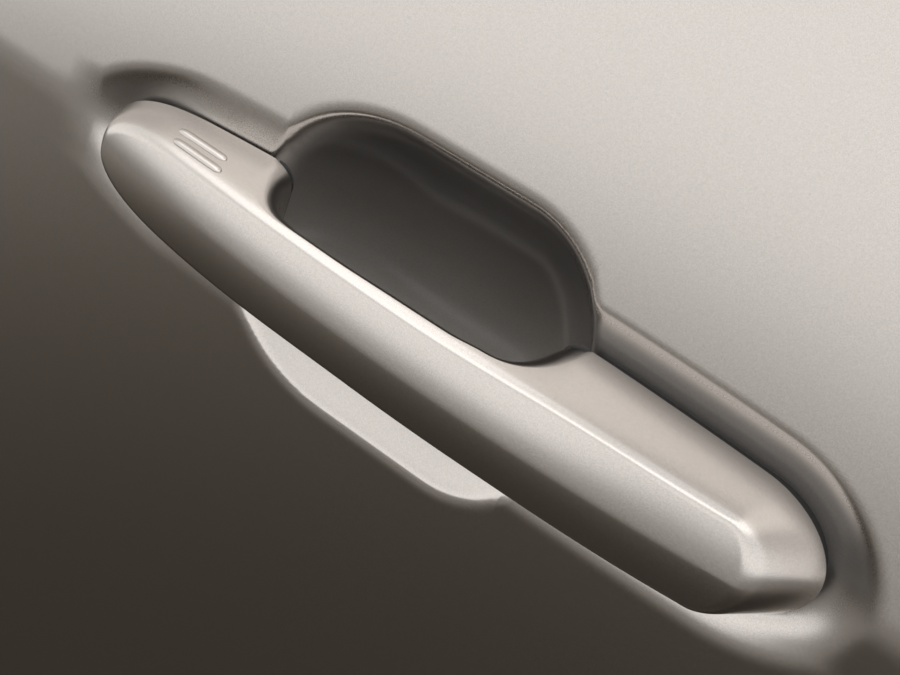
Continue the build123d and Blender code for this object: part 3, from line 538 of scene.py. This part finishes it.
def plain_surface(name, colour, roughness, metallic=0.0, speck=0.0002, depth=0.1):
    """Moulded or machined surface with a fine grain in its bump and its roughness."""
    material, shader = new_material(name)
    link = material.node_tree.links.new
    place = add_node(material, "ShaderNodeTexCoord")
    noise = add_node(material, "ShaderNodeTexNoise", Scale=1.0 / speck, Detail=3.0)
    link(place.outputs["Object"], noise.inputs["Vector"])
    spread = add_node(material, "ShaderNodeMapRange", To_Min=roughness - GRAIN_SPREAD,
                      To_Max=roughness + GRAIN_SPREAD)
    link(noise.outputs[0], spread.inputs["Value"])
    link(spread.outputs["Result"], shader.inputs["Roughness"])
    bump = add_node(material, "ShaderNodeBump", Strength=depth, Distance=speck / 2)
    link(noise.outputs[0], bump.inputs["Height"])
    link(bump.outputs[0], shader.inputs["Normal"])
    shader.inputs["Base Color"].default_value = (*colour, 1.0)
    shader.inputs["Metallic"].default_value = metallic
    return material


def dress(node, material):
    """Gives a CAD node one material."""
    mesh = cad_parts[node].data
    mesh.materials.clear()
    mesh.materials.append(material)


def silver_paint(context):
    """The one metallic paint that skin and handle share."""
    known = bpy.data.materials.get("silver_paint")
    return known or metallic_paint("silver_paint", context.scene.handle_paint)


def skin_grid(step):
    """Points of the door's plane, x and z, in rows that keep to the edges of both openings.

    The rows are closest at the cup's two ends, and wide apart outside the channel.
    """
    front_nose, front_tail, front_half = FRONT_OPENING
    rear_nose, rear_tail, rear_half = REAR_OPENING
    nose_end, tail_end = CUP_ENDS
    xs = stations((PATCH_LOW[0], FINE_NOSE_X, 6 * step), (FINE_NOSE_X, front_nose, 1.3 * step),
                  (front_nose, front_tail, 1.6 * step), (front_tail, nose_end[0], 1.3 * step),
                  (*nose_end, 0.5 * step), (nose_end[1], tail_end[0], 1.8 * step), (*tail_end, 0.5 * step),
                  (tail_end[1], rear_nose, 1.3 * step), (rear_nose, rear_tail, 1.6 * step),
                  (rear_tail, FINE_TAIL_X, 1.3 * step), (FINE_TAIL_X, PATCH_HIGH[0], 6 * step))
    wide, low = max(front_half, rear_half), min(front_half, rear_half)
    zs = stations((PATCH_LOW[2], -FINE_HALF_Z, 12 * step), (-FINE_HALF_Z, -wide, 0.9 * step),
                  (-wide, -low, 1.2 * step), (-low, low, 1.2 * step), (low, wide, 1.2 * step),
                  (wide, FINE_HALF_Z, 0.9 * step), (FINE_HALF_Z, PATCH_HIGH[2], 12 * step))
    return np.meshgrid(xs, zs)


def outer_and_back(x, z, settings):
    """Points of the sheet's outer face, and of its back one sheet behind them along the normal."""
    e = SLOPE_STEP
    slope_x = (skin_proud(x + e, z, settings) - skin_proud(x - e, z, settings)) / (2 * e)
    slope_z = (skin_proud(x, z + e, settings) - skin_proud(x, z - e, settings)) / (2 * e)
    outer = np.stack([x, -skin_proud(x, z, settings), z], axis=-1).reshape(-1, 3)
    normal = np.stack([-slope_x, -np.ones_like(x), -slope_z], axis=-1).reshape(-1, 3)
    normal /= np.linalg.norm(normal, axis=1, keepdims=True)
    back = outer - SHEET * normal
    for axis in (0, 2):
        back[:, axis] = np.clip(back[:, axis], PATCH_LOW[axis], PATCH_HIGH[axis])
    return outer, back


def mark_hem(piece, numbers, rim, total):
    """Marks as sharp the edges where the sheet's faces meet the hem round its rim and its openings."""
    ends = np.zeros(len(piece.data.edges) * 2, dtype=int)
    piece.data.edges.foreach_get("vertices", ends)
    ends = numbers[ends.reshape(-1, 2)]
    on_rim = np.isin(ends % total, np.unique(rim)).all(axis=1)
    same_side = (ends[:, 0] >= total) == (ends[:, 1] >= total)
    edge = piece.data.attributes.new("sharp_edge", "BOOLEAN", "EDGE")
    edge.data.foreach_set("value", on_rim & same_side)


class HANDLE_OT_skin(Operator):
    """Door skin with its channel and its cup, as one pressed sheet"""
    bl_idname = "pull_handle.skin"
    bl_label = "Door Skin"

    def execute(self, context):
        settings = context.scene.handle_skin
        x, z = skin_grid(settings.grid)
        outer, back = outer_and_back(x, z, settings)
        quads = grid_quads(*x.shape)
        middle = outer[quads].mean(axis=1)
        opened = np.zeros(len(quads), dtype=bool)
        for nose_x, tail_x, half in (FRONT_OPENING, REAR_OPENING):
            opened |= (middle[:, 0] > nose_x) & (middle[:, 0] < tail_x) & (np.abs(middle[:, 2]) < half)
        quads = quads[~opened]
        edges = np.stack([quads, np.roll(quads, -1, axis=1)], axis=-1).reshape(-1, 2)
        _, which, count = np.unique(np.sort(edges, axis=1), axis=0, return_inverse=True, return_counts=True)
        rim = edges[count[which.reshape(-1)] == 1]
        total = len(outer)
        hem = np.stack([rim[:, 1], rim[:, 0], rim[:, 0] + total, rim[:, 1] + total], axis=-1)
        faces = np.vstack([quads, quads[:, ::-1] + total, hem])
        used = np.unique(faces)
        points = np.vstack([outer, back])[used]
        piece = new_piece("skin_panel", points, np.searchsorted(used, faces).tolist(), "door",
                          silver_paint(context))
        mark_hem(piece, used, rim, total)
        # Painted shade: how much the paint is darkened deep in the channel and the cup, kept as an attribute
        tone = painted_recess_shade(x, z, plain_skin(z) + outer[:, 1].reshape(x.shape)).reshape(-1)
        recess_shade = piece.data.attributes.new("recess_shade", "FLOAT", "POINT")
        recess_shade.data.foreach_set("value", np.concatenate([tone, tone])[used].astype(np.float32))
        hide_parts("door_skin")
        return {"FINISHED"}


def front_proud(x, z, settings):
    """Height of the front face: from the bowed crest each facet falls at first gently and then more.

    The fall is the tangent of that side's lean at the crest times the way from it, plus a square
    term that brings the whole fall to that side's drop at RIDGE_HALF.
    """
    crest = CREST_PROUD - CREST_BOW + np.sqrt(CREST_BOW ** 2 - x * x)
    blend = settings.crest_blend + (settings.crest_nose - settings.crest_blend) * ease(-x, *CREST_TO_NOSE)
    away = np.sqrt(z * z + blend ** 2) - blend
    lean = np.where(z > 0, math.tan(CREST_LEAN), math.tan(CREST_LEAN_UNDER))
    upper = UPPER_DROP + (TAIL_DROP - UPPER_DROP) * ease(x, *DROP_TO_TAIL)
    curve = (np.where(z > 0, upper, LOWER_DROP) - lean * RIDGE_HALF) / RIDGE_HALF ** 2
    return crest - lean * away - curve * z * z


def side_run(x, z):
    """Loss of half height for each unit of height: the tangent of a draft that changes along the side."""
    top, top_tail = math.tan(UPPER_DRAFT), math.tan(UPPER_DRAFT_TAIL)
    low, nose, tail = math.tan(LOWER_DRAFT), math.tan(LOWER_DRAFT_NOSE), math.tan(LOWER_DRAFT_TAIL)
    lower = low + (nose - low) * ease(-x, *LOWER_TO_NOSE) + (tail - low) * ease(x, *LOWER_TO_TAIL)
    return np.where(z > 0, top + (top_tail - top) * ease(x, *UPPER_TO_TAIL), lower)


def wall_proud(x, z):
    """Height of the drafted wall over each point, from the shrinking outline of the foot."""
    height = CREST_PROUD - BACK_EDGE
    tail_run, nose_run = -TAIL_REACH * TAIL_TAPER / height, -NOSE_REACH * NOSE_TAPER / height
    return BACK_EDGE + leaf_rise(x, z, 0.0, tail_run, nose_run, -side_run(x, z), *WALL_SPAN, NOSE_POWER)


def ridge_blend(x, settings):
    """Depth of the blend between front and wall: wide at the nose, and narrow again round the end facet."""
    blend = settings.ridge_middle + (settings.ridge_tail - settings.ridge_middle) * ease(x, *RIDGE_TO_TAIL)
    blend = blend + (settings.ridge_end - settings.ridge_tail) * ease(x, *RIDGE_TO_END)
    return blend + (settings.ridge_nose - settings.ridge_middle) * ease(-x, *RIDGE_TO_NOSE)


def handle_proud(x, z, settings):
    """Outer face of the handle: front and wall blended by a width that changes along it."""
    return smooth_min(front_proud(x, z, settings), wall_proud(x, z), ridge_blend(x, settings))


def running_sum(values, places):
    """Integral of the values up to each of their places, by trapezia."""
    return np.concatenate([[0.0], np.cumsum((values[1:] + values[:-1]) / 2 * np.diff(places))])


def gap_line(count):
    """Grip's inner face seen from above: up the nose wall, round, along and down the tail wall.

    The line's angle is the same along a straight part and changes evenly along an arc. x and
    proud are the integrals of its cosine and its sine. Returns x, proud and the direction into
    the grip's material at each point.
    """
    top, low = GAP_PROUD - COVER, BACK_EDGE
    nose_turn, tail_turn = math.pi / 2 - GAP_NOSE_LEAN, math.pi / 2 - GAP_TAIL_LEAN
    nose_foot = GAP_NOSE_X + COVER + low * math.tan(GAP_NOSE_LEAN)
    tail_foot = GAP_TAIL_X - COVER - low * math.tan(GAP_TAIL_LEAN)
    nose_rise = top - low - GAP_NOSE_ROUND * (1 - math.cos(nose_turn))
    tail_rise = top - low - GAP_TAIL_ROUND * (1 - math.cos(tail_turn))
    nose_arc_x = nose_foot + nose_rise * math.tan(GAP_NOSE_LEAN) + GAP_NOSE_ROUND * math.sin(nose_turn)
    tail_arc_x = tail_foot - tail_rise * math.tan(GAP_TAIL_LEAN) - GAP_TAIL_ROUND * math.sin(tail_turn)
    lengths = [nose_rise / math.cos(GAP_NOSE_LEAN), GAP_NOSE_ROUND * nose_turn, tail_arc_x - nose_arc_x,
               GAP_TAIL_ROUND * tail_turn, tail_rise / math.cos(GAP_TAIL_LEAN)]
    ends = np.cumsum([0.0] + lengths)
    turns = [nose_turn, nose_turn, 0.0, 0.0, -tail_turn, -tail_turn]
    fine = np.linspace(0.0, ends[-1], GAP_STEPS)
    slope = np.interp(fine, ends, turns)
    s = np.linspace(0.0, ends[-1], count)
    x = nose_foot + np.interp(s, fine, running_sum(np.cos(slope), fine))
    proud = low + np.interp(s, fine, running_sum(np.sin(slope), fine))
    angle = np.interp(s, ends, turns)
    return x, proud, -np.sin(angle), np.cos(angle)


def handle_columns(settings):
    """Columns of one flank, nose to tail, each where a plane across the handle meets the foot or the gap.

    Along the gap they stand on gap_line, and the rounded edge there is wider at the grip's
    middle. Beyond it they run on to the centres of both ends with a narrow edge at the foot.
    Returns x and proud of each corner, the edge's width, its direction into the material as x
    and proud, whether it is at the gap, and how far its curve is drawn to the corner: less at
    the grip's middle.
    """
    gap_x, gap_p, into_x, into_p = gap_line(GAP_COLUMNS)
    middle = ease(gap_x, *GRIP_NOSE) * ease(-gap_x, *GRIP_TAIL)
    soft = ease(gap_x, *SOFT_NOSE) * ease(-gap_x, *SOFT_TAIL)
    width = settings.mouth + settings.grip_round * middle
    nose_x = gap_x[0] + into_x[0] * settings.mouth - PAST_GAP
    tail_x = gap_x[-1] + into_x[-1] * settings.mouth + PAST_GAP
    corner_x = np.concatenate([np.linspace(NOSE_CENTRE_X, nose_x, NOSE_COLUMNS), gap_x,
                               np.linspace(tail_x, TAIL_CENTRE_X, TAIL_COLUMNS)])

    def beyond(value, along):
        """Values along the gap, with one value for the columns before and after it."""
        return np.concatenate([np.full(NOSE_COLUMNS, value), along, np.full(TAIL_COLUMNS, value)])

    return (corner_x, beyond(BACK_EDGE, gap_p), beyond(FOOT_EDGE, width), beyond(0.0, into_x),
            beyond(1.0, into_p), beyond(False, np.ones(GAP_COLUMNS, bool)),
            beyond(FOOT_PULL, FOOT_PULL - GRIP_SOFTER * soft))


def wall_half(x, proud, sign):
    """Half height of the flank's wall at a height, on the upper side or the lower."""
    return bowed_half(x) - (proud - BACK_EDGE) * side_run(x, np.full(np.shape(x), sign))


def flank_columns(columns, sign, order):
    """One flank's columns in an order: where each starts on the spine, its wall's end, corner and back."""
    corner_x, corner_p, edge, into_x, into_p, gap, pull = (values[order] for values in columns)
    wall_x, wall_p = corner_x + into_x * edge, corner_p + into_p * edge
    half = wall_half(corner_x, corner_p, sign)
    return dict(spine=wall_x, wall=np.stack([wall_x, sign * wall_half(wall_x, wall_p, sign)], -1),
                corner=np.stack([corner_x, sign * half], -1), corner_p=corner_p, pull=pull,
                inner=np.stack([corner_x, sign * (half - edge)], -1), back_x=corner_x, back_p=corner_p,
                gap=gap)


def end_columns(centre, reach, angles, taper, power):
    """Columns round one end: they fan out from its centre to the end's outline at the angles.

    Across and along are the sine and the cosine of the angle, each to the power 2 over power.
    """
    across, along = (np.sign(f) * np.abs(f) ** (2 / power) for f in (np.sin(angles), np.cos(angles)))
    x = centre + reach * along
    half = bowed_half(x)
    shrink = 1.0 - FOOT_EDGE * taper / (CREST_PROUD - BACK_EDGE)
    wall_z = (half - FOOT_EDGE * side_run(x, across)) * across
    same = np.ones(len(angles))
    return dict(spine=centre * same, wall=np.stack([centre + reach * shrink * along, wall_z], -1),
                corner=np.stack([x, half * across], -1), corner_p=BACK_EDGE * same, pull=FOOT_PULL * same,
                inner=np.stack([centre + (reach - FOOT_EDGE) * along, (half - FOOT_EDGE) * across], -1),
                back_x=centre * same, back_p=BACK_EDGE * same, gap=same < 0)


def ridge_share(spine, way, settings):
    """Share of the way from the spine to the wall's end at which front and wall meet, by halving."""
    low, high = np.zeros(len(spine)), np.ones(len(spine))
    for _ in range(HALVINGS):
        mid = (low + high) / 2
        at = spine + mid[:, None] * way
        on_front = front_proud(at[:, 0], at[:, 1], settings) < wall_proud(at[:, 0], at[:, 1])
        low, high = np.where(on_front, mid, low), np.where(on_front, high, mid)
    return low


def placed(xz, proud):
    """Points from x and z pairs and their heights."""
    return np.stack([xz[..., 0], -proud, xz[..., 1]], -1)


def handle_points(settings):
    """Closed surface of the handle as a grid: columns go round the foot, rows from crest to back.

    Rows follow the front face out from the spine, go over the ridge and down the wall, turn
    round the edge by a cubic curve from the wall's end to the inner point, drawn to the corner
    between them, and run back to the spine along the grip's inner face or the foot's underside.
    """
    columns = handle_columns(settings)
    forward = np.arange(len(columns[0]))
    parts = [flank_columns(columns, 1, forward),
             end_columns(TAIL_CENTRE_X, TAIL_REACH, TURN_ANGLES, TAIL_TAPER, 2.0),
             flank_columns(columns, -1, forward[::-1]),
             end_columns(NOSE_CENTRE_X, NOSE_REACH, TURN_ANGLES + math.pi, NOSE_TAPER, NOSE_POWER)]
    c = {key: np.concatenate([part[key] for part in parts]) for key in parts[0]}
    spine = np.stack([c["spine"], np.zeros_like(c["spine"])], -1)
    way = c["wall"] - spine
    ridge = ridge_share(spine, way, settings)
    blend = ridge_blend((spine + ridge[:, None] * way)[:, 0], settings)
    reach = RIDGE_ROWS_REACH * blend / np.linalg.norm(way, axis=1)
    first, last = np.maximum(ridge - reach, FIRST_SHARE), np.minimum(ridge + reach, LAST_SHARE)
    t = np.linspace(0, 1, ROWS)[:, None]
    share = np.vstack([t[:-1] * first, first + t[:-1] * (last - first), last + t * (1 - last)])
    over = spine + share[..., None] * way
    front = placed(over, handle_proud(over[..., 0], over[..., 1], settings))
    start, inner = front[-1], placed(c["inner"], c["back_p"])
    corner = placed(c["corner"], c["corner_p"])
    first, second = (base + c["pull"][:, None] * (corner - base) for base in (start, inner))
    t = t[1:, :, None]
    rounded = ((1 - t) ** 3 * start + 3 * t * (1 - t) ** 2 * first + 3 * t * t * (1 - t) * second
               + t ** 3 * inner)
    back_spine = np.stack([c["back_x"], np.zeros_like(c["back_x"])], -1)
    away = c["inner"] - back_spine
    length = np.linalg.norm(away, axis=1)
    kept = np.where(c["gap"], GAP_RIM_SHARE, 1 - (WALL - FOOT_EDGE) / length)[:, None] * away
    inside_p = np.where(c["gap"], c["back_p"], FOOT_INSIDE)
    under = [placed(back_spine + kept, c["back_p"])]
    under += [placed(back_spine + part * kept, inside_p) for part in UNDER_SHARES]
    return np.concatenate([front, rounded, np.stack(under)])


class HANDLE_OT_cover(Operator):
    """Painted cover of the handle, from the nose over the grip to the tail"""
    bl_idname = "pull_handle.cover"
    bl_label = "Handle Cover"

    def execute(self, context):
        settings = context.scene.handle_cover
        points = handle_points(settings)
        rows, columns = points.shape[:2]
        welded, faces = weld(points.reshape(-1, 3), grid_quads(rows, columns, closed=True))
        piece = new_piece("handle_cover", welded, faces, "handle", silver_paint(context))
        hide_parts("handle_shell")
        return {"FINISHED"}


class HANDLE_OT_arms(Operator):
    """Hinge arm, pull hook and underside of the core, which show behind the cover"""
    bl_idname = "pull_handle.arms"
    bl_label = "Arm and Hook"

    def execute(self, context):
        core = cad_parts["handle_core"].data
        points = np.zeros(len(core.vertices) * 3)
        core.vertices.foreach_get("co", points)
        corners = np.zeros(len(core.loops), dtype=int)
        core.loops.foreach_get("vertex_index", corners)
        points, faces = points.reshape(-1, 3), corners.reshape(-1, 3)
        behind = points[:, 1] >= -BACK_EDGE - 10 * TINY
        faces = faces[behind[faces].all(axis=1)]
        points, same = np.unique(np.round(points, 6), axis=0, return_inverse=True)
        faces = same.reshape(-1)[faces]
        used = np.unique(faces)
        material = plain_surface("arm_moulding", (0.05, 0.05, 0.052), 0.45)
        piece = new_piece("pull_arms", points[used], np.searchsorted(used, faces).tolist(), "handle",
                          material)
        piece.data.set_sharp_from_angle(angle=math.radians(30))
        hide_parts("handle_core")
        return {"FINISHED"}


class HANDLE_OT_ribs(Operator):
    """Pair of touch ribs on the top wall near the nose: ovals carried along it that taper at both ends"""
    bl_idname = "pull_handle.ribs"
    bl_label = "Touch Ribs"

    def execute(self, context):
        along = np.sin(np.linspace(-math.pi / 2, math.pi / 2, RIB_ROWS))[:, None]
        around = np.linspace(0.0, 2 * math.pi, RIB_SIDES + 1)[None, :-1]
        taper = np.sqrt(1.0 - along ** RIB_POWER)
        out_z, out_p = math.cos(UPPER_DRAFT), math.sin(UPPER_DRAFT)
        every_point, every_face, count = [], [], 0
        for (x0, p0), (x1, p1) in RIBS:
            share = (along + 1) / 2
            x, proud = x0 + share * (x1 - x0), p0 + share * (p1 - p0)
            across = RIB_HALF_WIDTH * taper * np.cos(around)
            out = RIB_HEIGHT * taper * np.sin(around)
            z = wall_half(x, proud, 1) + across * out_p + out * out_z
            p = proud - across * out_z + out * out_p
            grid = np.stack([x + 0 * around, -p, z], axis=-1)
            points, faces = weld(grid.reshape(-1, 3), grid_quads(RIB_ROWS, RIB_SIDES, closed=True))
            every_point.append(points)
            every_face += [[corner + count for corner in face] for face in faces]
            count += len(points)
        new_piece("touch_ribs", np.vstack(every_point), every_face, "handle",
                  silver_paint(context))
        return {"FINISHED"}


class HANDLE_OT_fittings(Operator):
    """Finishes of the pads, the frame, the crank and the metal fittings"""
    bl_idname = "pull_handle.fittings"
    bl_label = "Fittings"

    def execute(self, context):
        rubber = plain_surface("pad_rubber", (0.018, 0.018, 0.018), 0.75)
        frame_plastic = plain_surface("frame_moulding", (0.028, 0.028, 0.03), 0.5)
        acetal = plain_surface("crank_acetal", (0.72, 0.71, 0.66), 0.4)
        zinc = plain_surface("zinc_plate", (0.62, 0.62, 0.6), 0.32, metallic=1.0)
        wire = plain_surface("spring_wire", (0.35, 0.35, 0.36), 0.3, metallic=1.0)
        for nodes, material in (
            (("front_pad", "rear_pad"), rubber),
            (("base_frame",), frame_plastic),
            (("bell_crank",), acetal),
            (("shell_screws", "frame_screws", "clinch_nuts"), zinc),
            (("hinge_pin", "crank_pin", "counterweight"), zinc),
            (("return_spring",), wire),
        ):
            for node in nodes:
                dress(node, material)
        return {"FINISHED"}


def stage_world():
    """Pale world; glossy surfaces mirror a bright sky over a dark ground, graded by elevation."""
    world = bpy.data.worlds.new("studio")
    bpy.context.scene.world = world
    world.use_nodes = True
    nodes, link = world.node_tree.nodes, world.node_tree.links.new
    nodes.clear()
    out = nodes.new("ShaderNodeOutputWorld")
    plain = nodes.new("ShaderNodeBackground")
    plain.inputs[0].default_value = (0.9, 0.9, 0.9, 1.0)
    plain.inputs[1].default_value = 0.9
    shown = nodes.new("ShaderNodeBackground")
    mix = nodes.new("ShaderNodeMixShader")
    path = nodes.new("ShaderNodeLightPath")
    place = nodes.new("ShaderNodeTexCoord")
    split = nodes.new("ShaderNodeSeparateXYZ")
    link(place.outputs["Generated"], split.inputs[0])
    ramp = nodes.new("ShaderNodeValToRGB")
    while len(ramp.color_ramp.elements) < len(SKY):
        ramp.color_ramp.elements.new(0.5)
    for element, (elevation, level) in zip(ramp.color_ramp.elements, SKY):
        element.position = (math.sin(math.radians(elevation)) + 1.0) / 2.0
        tint = DARK_TINT + ease(level, 0.0, BRIGHT_LEVEL) * (BRIGHT_TINT - DARK_TINT)
        element.color = (*(level * tint), 1.0)
    height = nodes.new("ShaderNodeMapRange")
    height.inputs["From Min"].default_value = -1.0
    link(split.outputs[2], height.inputs["Value"])
    link(height.outputs["Result"], ramp.inputs[0])
    link(ramp.outputs[0], shown.inputs[0])
    link(path.outputs["Is Glossy Ray"], mix.inputs[0])
    link(plain.outputs[0], mix.inputs[1])
    link(shown.outputs[0], mix.inputs[2])
    link(mix.outputs[0], out.inputs[0])


def stage_camera():
    """Camera at the reference view: it looks along minus its back axis from a distance to the target."""
    a, e, t = VIEW_AZIMUTH, VIEW_ELEVATION, VIEW_ROLL
    back = np.array([math.sin(a) * math.cos(e), -math.cos(a) * math.cos(e), math.sin(e)])
    level = np.array([math.cos(a), math.sin(a), 0.0])
    rise = np.cross(back, level)
    right = math.cos(t) * level + math.sin(t) * rise
    up = -math.sin(t) * level + math.cos(t) * rise
    place = VIEW_TARGET + VIEW_DISTANCE * back
    data = bpy.data.cameras.new("view")
    data.sensor_width = SENSOR_WIDTH
    data.lens = VIEW_LENS
    data.clip_start = 0.01
    camera = bpy.data.objects.new("view", data)
    camera.matrix_world = Matrix([
        (right[0], up[0], back[0], place[0]),
        (right[1], up[1], back[1], place[1]),
        (right[2], up[2], back[2], place[2]),
        (0.0, 0.0, 0.0, 1.0),
    ])
    bpy.context.collection.objects.link(camera)
    bpy.context.scene.camera = camera


class HANDLE_OT_stage(Operator):
    """Floor, lamp, world and camera"""
    bl_idname = "pull_handle.stage"
    bl_label = "Stage"

    def execute(self, context):
        settings = context.scene.handle_stage
        z = CAD_BOX[0][2] - settings.floor_drop
        corners = [(x * FLOOR_HALF, y * FLOOR_HALF, z) for x, y in ((-1, -1), (1, -1), (1, 1), (-1, 1))]
        mesh = bpy.data.meshes.new("floor")
        mesh.from_pydata(corners, [], [(0, 1, 2, 3)])
        floor = bpy.data.objects.new("floor", mesh)
        bpy.context.collection.objects.link(floor)
        floor.visible_glossy = False
        material, shader = new_material("floor_paper")
        shader.inputs["Base Color"].default_value = (0.85, 0.85, 0.85, 1.0)
        shader.inputs["Roughness"].default_value = 0.9
        mesh.materials.append(material)
        stage_world()
        lamp = bpy.data.lights.new("overhead", "AREA")
        lamp.shape = "RECTANGLE"
        lamp.size, lamp.size_y = LAMP_SIZE
        lamp.energy = settings.key_power
        overhead = bpy.data.objects.new("overhead", lamp)
        overhead.location = LAMP_PLACE
        overhead.rotation_euler = (LAMP_TILT, 0.0, 0.0)
        overhead.visible_glossy = False
        bpy.context.collection.objects.link(overhead)
        stage_camera()
        context.scene.view_settings.view_transform = "Standard"
        return {"FINISHED"}


class HANDLE_PT_panel(Panel):
    """Steps that dress the handle"""
    bl_label = "Pull Handle"
    bl_idname = "HANDLE_PT_panel"
    bl_space_type = "VIEW_3D"
    bl_region_type = "UI"
    bl_category = "Pull Handle"

    def draw(self, context):
        layout = self.layout
        for name in SETTINGS:
            settings = getattr(context.scene, name)
            for key in settings.__annotations__:
                layout.prop(settings, key)
        for operator in OPERATORS:
            layout.operator(operator.bl_idname)


SETTINGS = {"handle_skin": SkinSettings, "handle_cover": HandleSettings, "handle_paint": PaintSettings,
            "handle_stage": StageSettings}
OPERATORS = (HANDLE_OT_skin, HANDLE_OT_cover, HANDLE_OT_arms, HANDLE_OT_ribs, HANDLE_OT_fittings,
             HANDLE_OT_stage)
CLASSES = (*SETTINGS.values(), *OPERATORS, HANDLE_PT_panel)


def register():
    """Registers all classes and hangs the settings on the scene."""
    for cls in CLASSES:
        bpy.utils.register_class(cls)
    for name, settings in SETTINGS.items():
        setattr(bpy.types.Scene, name, PointerProperty(type=settings))


def unregister():
    """Takes back what register does."""
    for name in SETTINGS:
        delattr(bpy.types.Scene, name)
    for cls in reversed(CLASSES):
        bpy.utils.unregister_class(cls)


def main():
    """Registers the add-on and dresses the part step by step."""
    register()
    bpy.ops.pull_handle.skin()
    bpy.ops.pull_handle.cover()
    bpy.ops.pull_handle.arms()
    bpy.ops.pull_handle.ribs()
    bpy.ops.pull_handle.fittings()
    bpy.ops.pull_handle.stage()


if __name__ == "__main__":
    main()
